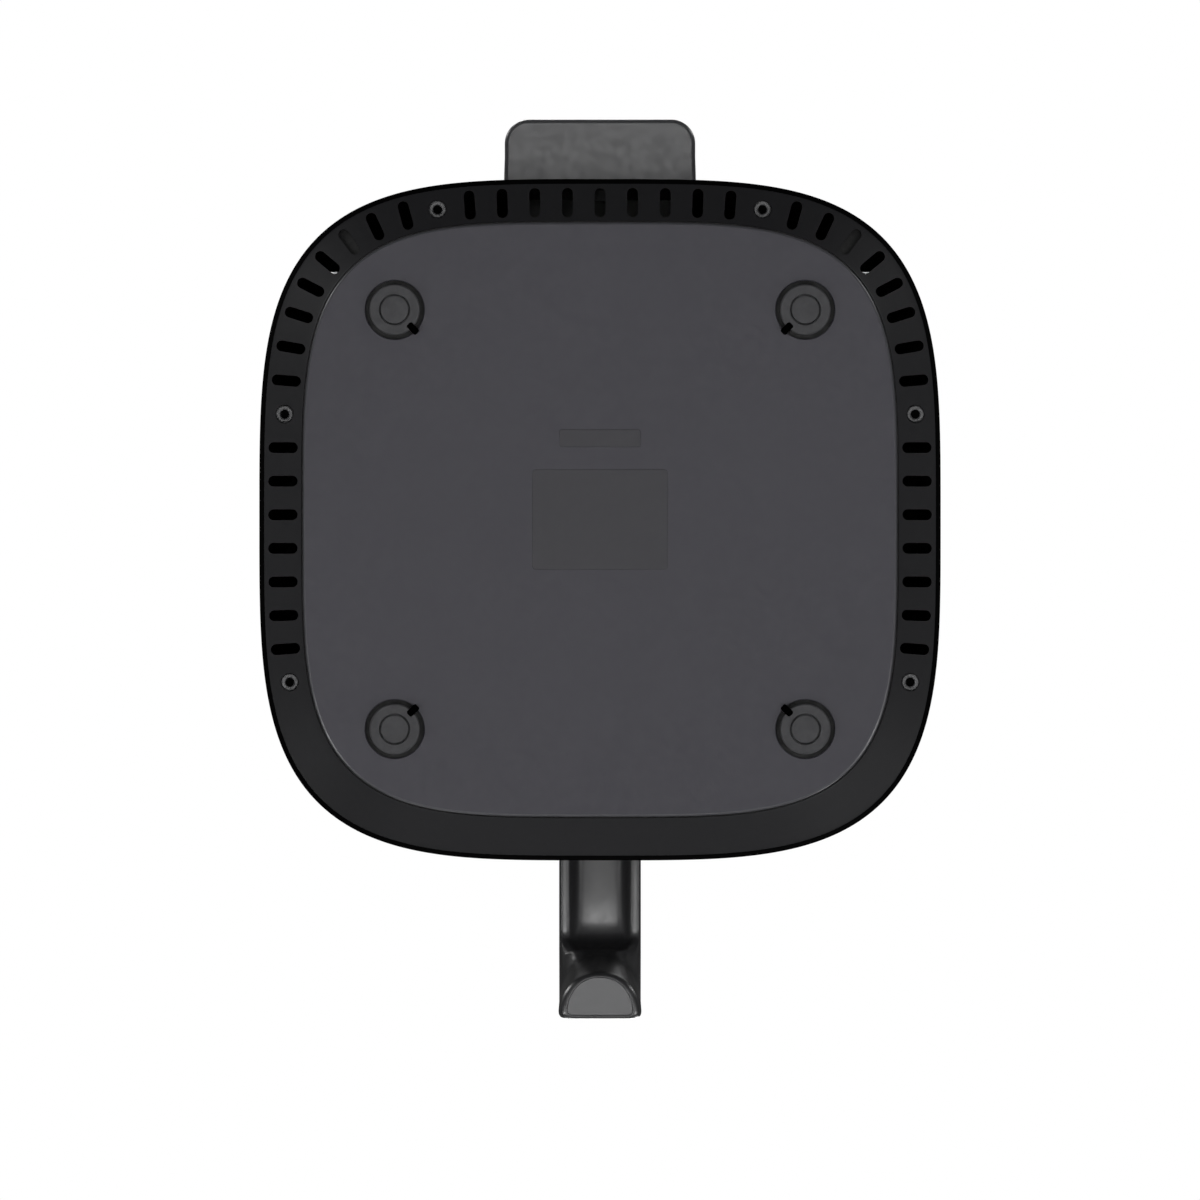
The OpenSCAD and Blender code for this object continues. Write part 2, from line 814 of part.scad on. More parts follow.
module frying_pan() {
    color([0.12, 0.12, 0.12])
        translate([0, pan_y, 0]) difference() {
            union() {
                translate([0, 0, pan_z0]) linear_extrude(pan_top - pan_z0)
                    rounded_rect(2 * pan_w, 2 * pan_w, pan_corner_r);
                translate([0, 0, pan_top - 2]) linear_extrude(2)
                    rounded_rect(2 * pan_w + 5, 2 * pan_w, pan_corner_r);
            }
            translate([0, 0, pan_z0 + pan_t]) linear_extrude(pan_top)
                rounded_rect(2 * (pan_w - pan_t), 2 * (pan_w - pan_t), pan_corner_r - pan_t);
        }
}

module handle_screw_positions() {
    for (x = [-8, 8])
        translate([x, panel_back - panel_t + eps, (arm_z + arm_top) / 2]) rotate([90, 0, 0]) children();
}

// Grip's cross section: flat front face, half ellipse towards the housing
module grip_section(depth) {
    flat = 3;
    half = handle_w / 2;
    polygon(concat(
        [[-half + 1, -flat - 1], [half - 1, -flat - 1], [half, -flat]],
        [for (t = [0 : 7.5 : 180]) [half * cos(t), (depth - flat - 1) * sin(t)]],
        [[-half, -flat]]));
}

module handle() {
    front_y = -body_a - handle_out;
    grip_top = grip_d + 10;
    color([0.06, 0.06, 0.065])
        difference() {
            union() {
                // grip: deeper at the arm than at its lower end
                hull() {
                    translate([0, front_y + 4, grip_z]) linear_extrude(eps) grip_section(grip_d);
                    translate([0, front_y + 4, arm_z + 2]) linear_extrude(eps) grip_section(grip_top);
                }
                intersection() {
                    box(-handle_w / 2, handle_w / 2, front_y, -body_a + 6, arm_z, arm_top);
                    difference() {
                        box(-50, 50, front_y, 0, arm_z, arm_top);
                        prism(body_a, body_n, 0, top_z);
                    }
                }
            }
            // hollow along the arm's underside
            translate([0, -body_a + 10, arm_z - 6]) rotate([90, 0, 0])
                cylinder(r = 12, h = handle_out - grip_top + 10);
            handle_screw_positions() cylinder(r = 2, h = 40);
        }
}

module handle_screws() {
    color([0.7, 0.7, 0.7])
        handle_screw_positions() {
            translate([0, 0, inner_a + panel_back - panel_t - 3.4]) cylinder(r = 3.6, h = 3);
            translate([0, 0, inner_a + panel_back - panel_t - 0.4]) cylinder(r = 2, h = 24);
        }
}

// ---------- crisper plate ----------

module crisper_plate() {
    side = 174;
    corner = 18;
    pitch = 19;
    rim_h = 6;
    color([0.13, 0.13, 0.13])
        translate([0, pan_y, crisper_z]) difference() {
            union() {
                linear_extrude(crisper_t) rounded_rect(side, side, corner);
                linear_extrude(rim_h) difference() {
                    rounded_rect(side, side, corner);
                    rounded_rect(side - 2 * crisper_t, side - 2 * crisper_t, corner - crisper_t);
                }
            }
            for (i = [-4 : 4], j = [-4 : 4])
                if (abs(i) + abs(j) < 8 && abs(i) + abs(j) > 1)
                    translate([i * pitch, j * pitch, -1]) cylinder(r = 3, h = 4, $fn = 24);
        }
}

// Silicone feet under the corners of the crisper plate
module plate_bumpers() {
    color([0.2, 0.2, 0.2])
        for (x = [-1, 1], y = [-1, 1])
            translate([x * plate_foot, pan_y + y * plate_foot, 0]) rod(6, pan_z0 + pan_t + 0.1, crisper_z);
}

module plate_lift_ring() {
    color([0.75, 0.75, 0.76])
        translate([0, pan_y, crisper_z + crisper_t]) {
            difference() {
                union() {
                    box(-11, 11, -3, 3, 0, 8);
                    rod(9, 0, 1.2);
                }
                box(-8, 8, -4, 4, 1.2, 6);
            }
        }
}

// ---------- assembly ----------

module placed() translate([0, body_y, 0]) children();

placed() base_plate();
placed() base_ring();
placed() base_screws();
placed() rating_label();
placed() foot(-1, -1);  // foot_front_left
placed() foot(1, -1);  // foot_front_right
placed() foot(-1, 1);  // foot_rear_left
placed() foot(1, 1);  // foot_rear_right
placed() chamber_posts();
placed() front_shell();
placed() rear_shell();
placed() front_frame();
placed() exhaust_hood();
placed() exhaust_duct();
placed() cord_grommet();
placed() cooking_chamber();
placed() chamber_seal();
placed() drawer_rail(-1);  // drawer_rail_left
placed() drawer_rail(1);  // drawer_rail_right
placed() drawer_switch();
placed() heat_reflector();
placed() heating_element();
placed() heater_insulators();
placed() element_guard();
placed() temperature_sensor();
placed() thermal_cutoff();
placed() motor_bracket();
placed() motor_housing();
placed() shaft_bushes();
placed() power_board();
placed() relay();
placed() filter_capacitor();
placed() transformer();
placed() terminal_block();
placed() wiring();
placed() top_cover();
placed() glass_panel();
placed() control_board();
placed() display_module();
placed() encoder_body();
placed() motor_rotor();
placed() motor_shaft();
placed() cooling_fan();
placed() hot_air_fan();
placed() fan_nut();
placed() drawer_front();
placed() drawer_inner_panel();
placed() pan_bracket();
placed() frying_pan();
placed() handle();
placed() handle_screws();
placed() crisper_plate();
placed() plate_bumpers();
placed() plate_lift_ring();
placed() dial_plunger();
placed() dial_shaft();
placed() dial_knob();
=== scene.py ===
"""Drawer air fryer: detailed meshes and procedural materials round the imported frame."""

import math

import bmesh
import bpy
from mathutils import Matrix, Vector


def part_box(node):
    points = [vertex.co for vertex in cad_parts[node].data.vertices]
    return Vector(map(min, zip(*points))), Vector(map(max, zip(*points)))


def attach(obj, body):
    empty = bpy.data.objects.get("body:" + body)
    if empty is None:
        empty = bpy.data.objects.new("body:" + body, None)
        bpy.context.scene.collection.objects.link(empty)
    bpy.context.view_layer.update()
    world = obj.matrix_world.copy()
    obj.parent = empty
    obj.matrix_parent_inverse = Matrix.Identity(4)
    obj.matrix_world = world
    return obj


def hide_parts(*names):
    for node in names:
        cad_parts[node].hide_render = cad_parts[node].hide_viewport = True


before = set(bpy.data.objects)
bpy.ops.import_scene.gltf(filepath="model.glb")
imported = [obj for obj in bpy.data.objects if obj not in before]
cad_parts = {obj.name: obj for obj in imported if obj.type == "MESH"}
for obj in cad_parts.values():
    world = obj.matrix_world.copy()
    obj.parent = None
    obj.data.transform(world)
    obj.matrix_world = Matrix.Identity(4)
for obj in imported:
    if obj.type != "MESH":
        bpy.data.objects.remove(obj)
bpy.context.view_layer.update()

MM = 0.001
TAU = 2 * math.pi

# ---------- sizes, in millimetres, in the housing's own axis ----------

BODY_HALF, BODY_POWER = 126.0, 3.7      # outline of the housing
PLATE_HALF, PLATE_POWER = 109.6, 4.0    # outline of the base plate
SLOT_HALF, SLOT_POWER = 117.4, 3.87     # line that the intake slots are centred on
AXIS_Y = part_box("rear_shell")[1].y / MM - BODY_HALF
WALL = 3.0
SEAM = 0.35                             # half width of the grooves between mouldings
ROUND = 480                             # points round a housing outline


# ---------- mesh building ----------


def place(point):
    """A point in the housing's axis, in millimetres, to the row frame, in metres."""
    return Vector((point[0], point[1] + AXIS_Y, point[2])) * MM


def add_object(name, data):
    """A new object in the scene."""
    made = bpy.data.objects.new(name, data)
    bpy.context.scene.collection.objects.link(made)
    return made


def make(name, points, faces, material, body, slot, replaces=(), crease=32):
    """A finished piece: points in millimetres round the housing's axis."""
    mesh = bpy.data.meshes.new(name)
    mesh.from_pydata([place(p) for p in points], [], faces)
    finish_mesh(mesh, crease)
    piece = add_object(name, mesh)
    piece.data.materials.append(material)
    shade_evenly(piece)
    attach(piece, body)
    if replaces:
        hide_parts(*replaces)
    return piece


def shade_evenly(piece):
    """Large faces keep their own direction, so that flat areas stay flat beside fillets."""
    even = piece.modifiers.new("even_shading", "WEIGHTED_NORMAL")
    even.weight, even.keep_sharp = 100, True


def smooth_faces(mesh):
    """Smooth shading on every face."""
    mesh.polygons.foreach_set("use_smooth", [True] * len(mesh.polygons))


def finish_mesh(mesh, crease):
    """Outward faces, smooth except along edges sharper than the crease angle."""
    work = bmesh.new()
    work.from_mesh(mesh)
    bmesh.ops.remove_doubles(work, verts=work.verts, dist=0.00001 * MM)
    bmesh.ops.recalc_face_normals(work, faces=work.faces)
    work.to_mesh(mesh)
    work.free()
    smooth_faces(mesh)
    mesh.set_sharp_from_angle(angle=math.radians(crease))
    mesh.update()


def skin(rings, closed=True, loop=False, caps=(True, True)):
    """Points and faces of a surface through rings of equally many points."""
    count = len(rings[0])
    points = [p for ring in rings for p in ring]
    last = len(rings) if loop else len(rings) - 1
    faces = []
    for i in range(last):
        a, b = i * count, (i + 1) % len(rings) * count
        for k in range(count if closed else count - 1):
            n = (k + 1) % count
            faces.append((a + k, a + n, b + n, b + k))
    if closed and not loop:
        if caps[0]:
            faces.append(tuple(range(count - 1, -1, -1)))
        if caps[1]:
            start = (len(rings) - 1) * count
            faces.append(tuple(range(start, start + count)))
    return points, faces


def join(*parts):
    """One list of points and faces from several."""
    points, faces = [], []
    for some_points, some_faces in parts:
        base = len(points)
        points += some_points
        faces += [tuple(i + base for i in face) for face in some_faces]
    return points, faces


def moved(part, change):
    """A part with each of its points changed by a function."""
    return [change(Vector(p)) for p in part[0]], part[1]


def solid_object(name, part):
    """A bare object, in the row frame, for cutting with."""
    mesh = bpy.data.meshes.new(name)
    mesh.from_pydata([place(p) for p in part[0]], [], part[1])
    work = bmesh.new()
    work.from_mesh(mesh)
    bmesh.ops.recalc_face_normals(work, faces=work.faces)
    work.to_mesh(mesh)
    work.free()
    return add_object(name, mesh)


def cut(piece, part, crease=32):
    """Takes a part away from a piece for good."""
    cutter = solid_object("cutter", part)
    piece.modifiers.clear()
    trim = piece.modifiers.new("cut", "BOOLEAN")
    trim.operation, trim.solver, trim.object = "DIFFERENCE", "EXACT", cutter
    bpy.context.view_layer.update()
    evaluated = piece.evaluated_get(bpy.context.evaluated_depsgraph_get())
    result = bpy.data.meshes.new_from_object(evaluated)
    piece.modifiers.clear()
    old, piece.data = piece.data, result
    bpy.data.meshes.remove(old)
    bpy.data.objects.remove(cutter)
    smooth_faces(result)
    result.set_sharp_from_angle(angle=math.radians(crease))
    shade_evenly(piece)
    return piece


def arc_rows(radius, start, end, steps):
    """Points (across, up) on an arc about its centre, angles in degrees."""
    angles = [start + (end - start) * i / steps for i in range(steps + 1)]
    return [(radius * math.cos(math.radians(a)), radius * math.sin(math.radians(a))) for a in angles]


def rounded(profile, radius, steps=4):
    """A polyline of (across, up) points with its inner corners rounded."""
    out = [profile[0]]
    for before, corner, after in zip(profile, profile[1:], profile[2:]):
        c = Vector(corner)
        one, two = Vector(before) - c, Vector(after) - c
        reach = min(radius, 0.49 * one.length, 0.49 * two.length)
        a, b = c + one.normalized() * reach, c + two.normalized() * reach
        for i in range(steps + 1):
            t = i / steps
            out.append(tuple((1 - t) ** 2 * a + 2 * t * (1 - t) * c + t * t * b))
    out.append(profile[-1])
    return out


def lathe(profile, centre=(0, 0), count=96, wobble=None):
    """A turned part: (radius, height) points about an upright axis; the ends on the axis close it."""
    rings = []
    for radius, height in profile:
        ring = []
        for k in range(count):
            a = TAU * k / count
            r = max(radius, 0.001)
            if wobble:
                r += wobble(a, radius, height)
            ring.append((centre[0] + r * math.cos(a), centre[1] + r * math.sin(a), height))
        rings.append(ring)
    return skin(rings)


def tube(profile, count=96, centre=(0, 0)):
    """A turned part with a hole: its (radius, height) profile closes on itself."""
    turns = [TAU * k / count for k in range(count)]
    rings = [
        [(centre[0] + r * math.cos(a), centre[1] + r * math.sin(a), z) for a in turns]
        for r, z in profile
    ]
    return skin(rings, loop=True)


def slot_part(length, width, z0, z1, change):
    """An upright cutter with round ends, put in place by a function."""
    half = (length - width) / 2
    ring = []
    for side in (1, -1):
        for i in range(13):
            a = math.pi * (i / 12 - 0.5)
            ring.append((side * (half + width / 2 * math.cos(a)), side * width / 2 * math.sin(a)))
    return moved(skin([[(x, y, z) for x, y in ring] for z in (z0, z1)]), change)


# ---------- outlines ----------


def squircle_at(half, power, angle):
    """The point of a squircle in that direction from its middle."""
    c, s = math.cos(angle), math.sin(angle)
    reach = half / (abs(c) ** power + abs(s) ** power) ** (1 / power)
    return Vector((reach * c, reach * s))


def squircle_normal(power, point):
    """The outward direction at a point of a squircle."""
    normal = Vector([math.copysign(abs(v) ** (power - 1), v) for v in point])
    return normal.normalized()


class Outline:
    """A squircle that can be walked by distance, from the middle of its rear, turning left."""

    STEPS = 2880

    def __init__(self, half, power):
        self.half, self.power = half, power
        self.points = [
            squircle_at(half, power, math.pi / 2 + TAU * i / self.STEPS) for i in range(self.STEPS + 1)
        ]
        self.lengths = [0.0]
        for a, b in zip(self.points, self.points[1:]):
            self.lengths.append(self.lengths[-1] + (b - a).length)
        self.total = self.lengths[-1]

    def at(self, distance):
        """(point, outward normal) at that distance along the outline."""
        distance %= self.total
        low, high = 0, len(self.lengths) - 1
        while high - low > 1:
            middle = (low + high) // 2
            if self.lengths[middle] > distance:
                high = middle
            else:
                low = middle
        t = (distance - self.lengths[low]) / (self.lengths[high] - self.lengths[low])
        point = self.points[low].lerp(self.points[high], t)
        return point, squircle_normal(self.power, point)

    def where(self, test):
        """First distance at which the test of a point becomes true."""
        for point, length in zip(self.points, self.lengths):
            if test(point):
                return length
        return self.total

    def ring(self, inset=0.0, count=ROUND, start=0.0, end=1.0):
        """Points at even distances, moved inwards; a part of the outline includes both ends."""
        whole = start == 0.0 and end == 1.0
        gaps = count if whole else count - 1
        out = []
        for i in range(count):
            point, normal = self.at(self.total * (start + (end - start) * i / gaps))
            out.append(point - normal * inset)
        return out


body_outline = Outline(BODY_HALF, BODY_POWER)
plate_outline = Outline(PLATE_HALF, PLATE_POWER)
slot_outline = Outline(SLOT_HALF, SLOT_POWER)


def at_height(ring, z):
    """A flat ring of points lifted to a height."""
    return [(p[0], p[1], z) for p in ring]


def rect_ring(width, depth, radius, per_corner=16, centre=(0, 0), per_side=1):
    """A rectangle with round corners; extra points divide its sides."""
    out = []
    radius = max(radius, 0.05)
    corners = [(1, 1, 0), (-1, 1, 90), (-1, -1, 180), (1, -1, 270)]
    for index, (sx, sy, start) in enumerate(corners):
        cx, cy = sx * (width / 2 - radius), sy * (depth / 2 - radius)
        for i in range(per_corner + 1):
            a = math.radians(start + 90 * i / per_corner)
            out.append((centre[0] + cx + radius * math.cos(a), centre[1] + cy + radius * math.sin(a)))
        nx, ny, turn = corners[(index + 1) % 4]
        a = math.radians(turn)
        nxt = (
            centre[0] + nx * (width / 2 - radius) + radius * math.cos(a),
            centre[1] + ny * (depth / 2 - radius) + radius * math.sin(a),
        )
        last = out[-1]
        for i in range(1, per_side):
            t = i / per_side
            out.append((last[0] + (nxt[0] - last[0]) * t, last[1] + (nxt[1] - last[1]) * t))
    return out


# ---------- materials ----------


def add_node(tree, kind, **values):
    """A new shader node with its inputs or its settings filled in."""
    made = tree.nodes.new("ShaderNode" + kind)
    for key, value in values.items():
        if key in made.inputs:
            made.inputs[key].default_value = value
        else:
            setattr(made, key, value)
    return made


def wire(tree, *pairs):
    """Joins outputs to inputs."""
    for source, target in pairs:
        tree.links.new(source, target)


class Surface:
    """A Principled material built up from layers of noise, in the piece's own metres."""

    def __init__(self, name, colour, rough, metallic=0.0, specular=0.5, coat=0.0):
        self.material = bpy.data.materials.new(name)
        self.material.use_nodes = True
        self.tree = self.material.node_tree
        self.shader = self.tree.nodes["Principled BSDF"]
        self.rough = rough
        self.colour = (*colour, 1)
        values = {
            "Base Color": self.colour, "Roughness": rough, "Metallic": metallic,
            "Specular IOR Level": specular, "Coat Weight": coat, "Coat Roughness": 0.12,
        }
        for key, value in values.items():
            self.shader.inputs[key].default_value = value
        self.place = self.tree.nodes.new("ShaderNodeTexCoord").outputs["Object"]
        self.bump_end = None

    def node(self, kind, **values):
        """A new node in this material."""
        return add_node(self.tree, kind, **values)

    def link(self, source, target):
        """Joins an output to an input."""
        wire(self.tree, (source, target))

    def stretched(self, scale):
        """The piece's own coordinates, scaled differently along each axis."""
        mapping = self.node("Mapping", Scale=scale)
        self.link(self.place, mapping.inputs["Vector"])
        return mapping.outputs["Vector"]

    def noise(self, size_mm, detail=3.0, stretch=None):
        """Soft noise whose patches are about that size."""
        made = self.node("TexNoise", Scale=1 / (size_mm * MM), Detail=detail)
        self.link(self.stretched(stretch) if stretch else self.place, made.inputs["Vector"])
        return made.outputs["Fac"]

    def ramp(self, source, low, high, to_low=0.0, to_high=1.0):
        """A smooth step from one value to another as the source goes from low to high."""
        limits = {"From Min": low, "From Max": high, "To Min": to_low, "To Max": to_high}
        made = self.node("MapRange", interpolation_type="SMOOTHSTEP", **limits)
        self.link(source, made.inputs["Value"])
        return made.outputs["Result"]

    def colour_output(self):
        """What feeds the base colour so far, if anything does."""
        socket = self.shader.inputs["Base Color"]
        return socket.links[0].from_socket if socket.is_linked else None

    def blend_colour(self, factor, colour):
        """Lays another colour over the surface where the factor is high."""
        mix = self.node("Mix", data_type="RGBA")
        before = self.colour_output()
        if before:
            self.link(before, mix.inputs["A"])
        else:
            mix.inputs["A"].default_value = self.colour
        mix.inputs["B"].default_value = (*colour, 1)
        self.link(factor, mix.inputs["Factor"])
        self.link(mix.outputs["Result"], self.shader.inputs["Base Color"])
        return self

    def mottle(self, size_mm, amount, detail=4.0):
        """Slow, slight change of shade, as moulded or coated material has."""
        factor = self.ramp(self.noise(size_mm, detail), 0.3, 0.7)
        lighter = [min(1.0, c * (1 + amount)) for c in self.colour[:3]]
        return self.blend_colour(factor, lighter)

    def speckle(self, size_mm, colour, low=0.62, high=0.7):
        """Separate flecks of another colour."""
        return self.blend_colour(self.ramp(self.noise(size_mm, 1.0), low, high), colour)

    def roughen(self, size_mm, spread, detail=3.0, stretch=None):
        """Roughness that changes over the surface by as much as the spread."""
        low, high = max(0.03, self.rough - spread), min(1.0, self.rough + spread)
        value = self.ramp(self.noise(size_mm, detail, stretch), 0.3, 0.7, low, high)
        self.link(value, self.shader.inputs["Roughness"])
        return self

    def bump(self, height, depth_mm, strength=1.0):
        """Relief on top of the relief laid so far."""
        made = self.node("Bump", Strength=strength, Distance=depth_mm * MM)
        self.link(height, made.inputs["Height"])
        if self.bump_end:
            self.link(self.bump_end, made.inputs["Normal"])
        self.bump_end = made.outputs["Normal"]
        self.link(self.bump_end, self.shader.inputs["Normal"])
        return self

    def grain(self, size_mm, depth_mm, strength=1.0, stretch=None):
        """Relief from noise."""
        return self.bump(self.noise(size_mm, 2.0, stretch), depth_mm, strength)

    def worn_edges(self, colour, low=0.53, high=0.6):
        """A lighter, rubbed look along outward edges."""
        geometry = self.node("NewGeometry")
        edges = self.ramp(geometry.outputs["Pointiness"], low, high)
        patches = self.ramp(self.noise(6.0, 5.0), 0.35, 0.65)
        both = self.node("Math", operation="MULTIPLY")
        self.link(edges, both.inputs[0])
        self.link(patches, both.inputs[1])
        return self.blend_colour(both.outputs[0], colour)

    def rings(self, centre, spacing_mm, depth_mm, strength):
        """Fine turning marks about an upright axis."""
        shift = self.node("Mapping", Location=[-v for v in centre])
        self.link(self.place, shift.inputs["Vector"])
        wave = self.node("TexWave", wave_type="RINGS", rings_direction="Z", Distortion=0.6, Detail=1.0)
        wave.inputs["Scale"].default_value = 1 / (spacing_mm * MM) / 3.2
        self.link(shift.outputs["Vector"], wave.inputs["Vector"])
        return self.bump(wave.outputs["Fac"], depth_mm, strength)


def moulded(name, colour, rough, grain_mm=0.45, depth_mm=0.035, edge=None, specular=0.5):
    """Moulded plastic with a spark-eroded grain, slight flow shading and rubbed edges."""
    surface = Surface(name, colour, rough, specular=specular)
    surface.mottle(70.0, 0.05).roughen(2.5, 0.03)
    surface.grain(grain_mm, depth_mm, 0.55).grain(4 * grain_mm, depth_mm, 0.12)
    if edge:
        surface.worn_edges(edge)
    return surface.material


def rubber(name, colour, rough=0.75):
    """Dull rubber or silicone with uneven bloom."""
    surface = Surface(name, colour, rough, specular=0.35)
    surface.mottle(5.0, 0.2).roughen(2.0, 0.08).grain(0.25, 0.03, 0.5)
    return surface.material


def sheet_metal(name, colour, rough, stretch=(1, 30, 30), tint=None):
    """Rolled or drawn metal: fine stretched marks and slow staining."""
    surface = Surface(name, colour, rough, metallic=1.0)
    surface.mottle(30.0, 0.12).roughen(1.6, 0.1, stretch=stretch)
    surface.grain(1.2, 0.003, 0.25, stretch=stretch)
    if tint:
        surface.blend_colour(surface.ramp(surface.noise(45.0, 4.0), 0.5, 0.75), tint)
    return surface.material


def ribbed_steel(name, colour, pitch_mm):
    """Sheet steel with level pressed ribs and a slight change of shade."""
    surface = Surface(name, colour, 0.4, metallic=1.0)
    surface.mottle(60.0, 0.05).roughen(1.6, 0.06, stretch=(1, 30, 30))
    surface.grain(1.2, 0.003, 0.25, stretch=(1, 30, 30))
    shade_caps = surface.node("TexWave", wave_type="BANDS", bands_direction="Z", wave_profile="SIN", Detail=0.0)
    shade_caps.inputs["Scale"].default_value = TAU / (20 * pitch_mm * MM)
    surface.link(surface.place, shade_caps.inputs["Vector"])
    surface.bump(surface.ramp(shade_caps.outputs["Fac"], 0.55, 0.9), 1.6, 0.8)
    return surface.material


def coated(name, colour, fleck):
    """Non-stick coating: sprayed flecks in two sizes over a slight orange peel."""
    surface = Surface(name, colour, 0.38, specular=0.45)
    surface.mottle(40.0, 0.1).speckle(0.7, fleck).speckle(0.35, fleck, 0.66, 0.72)
    surface.roughen(3.0, 0.07).grain(0.8, 0.02, 0.4)
    return surface.material


def spun_metal(name, colour, centre):
    """Turned metal with fine marks round an upright axis."""
    surface = Surface(name, colour, 0.38, metallic=1.0)
    surface.mottle(14.0, 0.1).roughen(2.0, 0.05)
    surface.rings(centre, 0.35, 0.004, 0.35)
    return surface.material


def printed(name, colour):
    """Screen printing ink."""
    surface = Surface(name, colour, 0.55)
    surface.mottle(1.5, 0.15).roughen(1.0, 0.05).grain(0.2, 0.01, 0.2)
    return surface.material


def black_glass(name):
    """Back-painted glass, almost black."""
    surface = Surface(name, (0.004, 0.004, 0.005), 0.08, specular=0.6, coat=0.4)
    surface.mottle(25.0, 0.3).roughen(30.0, 0.03).grain(60.0, 0.02, 0.1)
    return surface.material


def ceramic(name, colour):
    """Unglazed ceramic or moulded component cases."""
    surface = Surface(name, colour, 0.7)
    surface.mottle(3.0, 0.15).roughen(2.0, 0.08).grain(0.3, 0.03, 0.5)
    return surface.material


def circuit_board(name):
    """Green solder resist over raised tracks."""
    surface = Surface(name, (0.012, 0.085, 0.028), 0.35, coat=0.3)
    tracks = surface.node("TexBrick", offset=0.37, Scale=160, **{"Mortar Size": 0.06})
    surface.link(surface.place, tracks.inputs["Vector"])
    surface.blend_colour(tracks.outputs["Fac"], (0.03, 0.16, 0.05))
    surface.bump(tracks.outputs["Fac"], 0.05, 0.5).roughen(3.0, 0.08)
    return surface.material


housing_plastic = moulded("housing_plastic", (0.0135, 0.0135, 0.0145), 0.42, edge=(0.03, 0.03, 0.032))
ring_plastic = moulded("ring_plastic", (0.0066, 0.0066, 0.0076), 0.5, specular=0.28)
plate_plastic = moulded("plate_plastic", (0.0262, 0.0250, 0.0325), 0.48, 0.6, 0.03, specular=0.3)
hood_plastic = moulded("hood_plastic", (0.05, 0.05, 0.053), 0.35, 0.35, 0.004, specular=0.44)
frame_plastic = moulded("frame_plastic", (0.016, 0.016, 0.017), 0.5)
handle_plastic = moulded("handle_plastic", (0.0145, 0.0145, 0.0155), 0.32, 0.35, 0.0008, specular=0.75)
end_plastic = moulded("end_plastic", (0.062, 0.062, 0.064), 0.4, 0.3, 0.004)
device_plastic = moulded("device_plastic", (0.02, 0.02, 0.021), 0.45)
label_film = moulded("label_film", (0.0245, 0.0238, 0.028), 0.5, 0.3, 0.01, specular=0.3)
foot_rubber = rubber("foot_rubber", (0.033, 0.033, 0.035), 0.7)
# Lighter and glossier than the plate: the gloss is the bevel's own, the lighter colour paints the highlight
# along the plate's edge.
highlight_bevel_plastic = moulded("highlight_bevel_plastic", (0.035, 0.035, 0.04), 0.34, 0.6, 0.004, specular=0.5)
screw_black = moulded("screw_black", (0.05, 0.05, 0.052), 0.45, 0.5, 0.003)
# Near-black rubber, painted shade: used for the rings in the gaps round the feet and for the caps in the
# blind slots.
skirt_rubber = rubber("skirt_rubber", (0.006, 0.006, 0.006))
# Almost pure black with next to no shine: painted shade, put where the view falls into shadow.
blackened = moulded("blackened", (0.0004, 0.0004, 0.0004), 0.7, specular=0.02)
grommet_rubber = rubber("grommet_rubber", (0.015, 0.015, 0.016))
silicone = rubber("silicone", (0.045, 0.045, 0.047), 0.6)
wire_sheath = rubber("wire_sheath", (0.32, 0.02, 0.018), 0.5)
screw_metal = sheet_metal("screw_metal", (0.085, 0.085, 0.088), 0.5, (6, 6, 6))
zinc_steel = sheet_metal("zinc_steel", (0.56, 0.56, 0.58), 0.35)
chamber_steel = ribbed_steel("chamber_steel", (0.62, 0.62, 0.63), 26.0)
reflector_metal = sheet_metal("reflector_metal", (0.78, 0.78, 0.79), 0.22, (8, 8, 1))
heater_metal = sheet_metal("heater_metal", (0.13, 0.115, 0.10), 0.5, (4, 4, 4), (0.09, 0.075, 0.08))
loop_steel = sheet_metal("loop_steel", (0.3, 0.3, 0.31), 0.42, (1, 1, 1))
wire_chrome = sheet_metal("wire_chrome", (0.7, 0.7, 0.71), 0.18, (4, 4, 4))
bronze = sheet_metal("bronze", (0.6, 0.42, 0.2), 0.4, (5, 5, 5))
rotor_metal = sheet_metal("rotor_metal", (0.3, 0.25, 0.21), 0.45, (1, 1, 60))
fan_metal = sheet_metal("fan_metal", (0.72, 0.72, 0.73), 0.3, (5, 5, 5))
pan_coating = coated("pan_coating", (0.02, 0.02, 0.021), (0.06, 0.06, 0.06))
white_ceramic = ceramic("white_ceramic", (0.72, 0.69, 0.62))
yellow_case = ceramic("yellow_case", (0.55, 0.4, 0.06))
green_case = ceramic("green_case", (0.03, 0.17, 0.05))
board_green = circuit_board("board_green")
panel_glass = black_glass("panel_glass")
pale_print = printed("pale_print", (0.55, 0.55, 0.56))

KNOB_LOW, KNOB_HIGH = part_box("dial_knob")
DIAL_X, DIAL_Y = 0.0, (KNOB_LOW.y + KNOB_HIGH.y) / 2 / MM - AXIS_Y
dial_metal = spun_metal("dial_metal", (0.15, 0.15, 0.155), place((DIAL_X, DIAL_Y, 0)))

# ---------- base ring with its slots and screws ----------

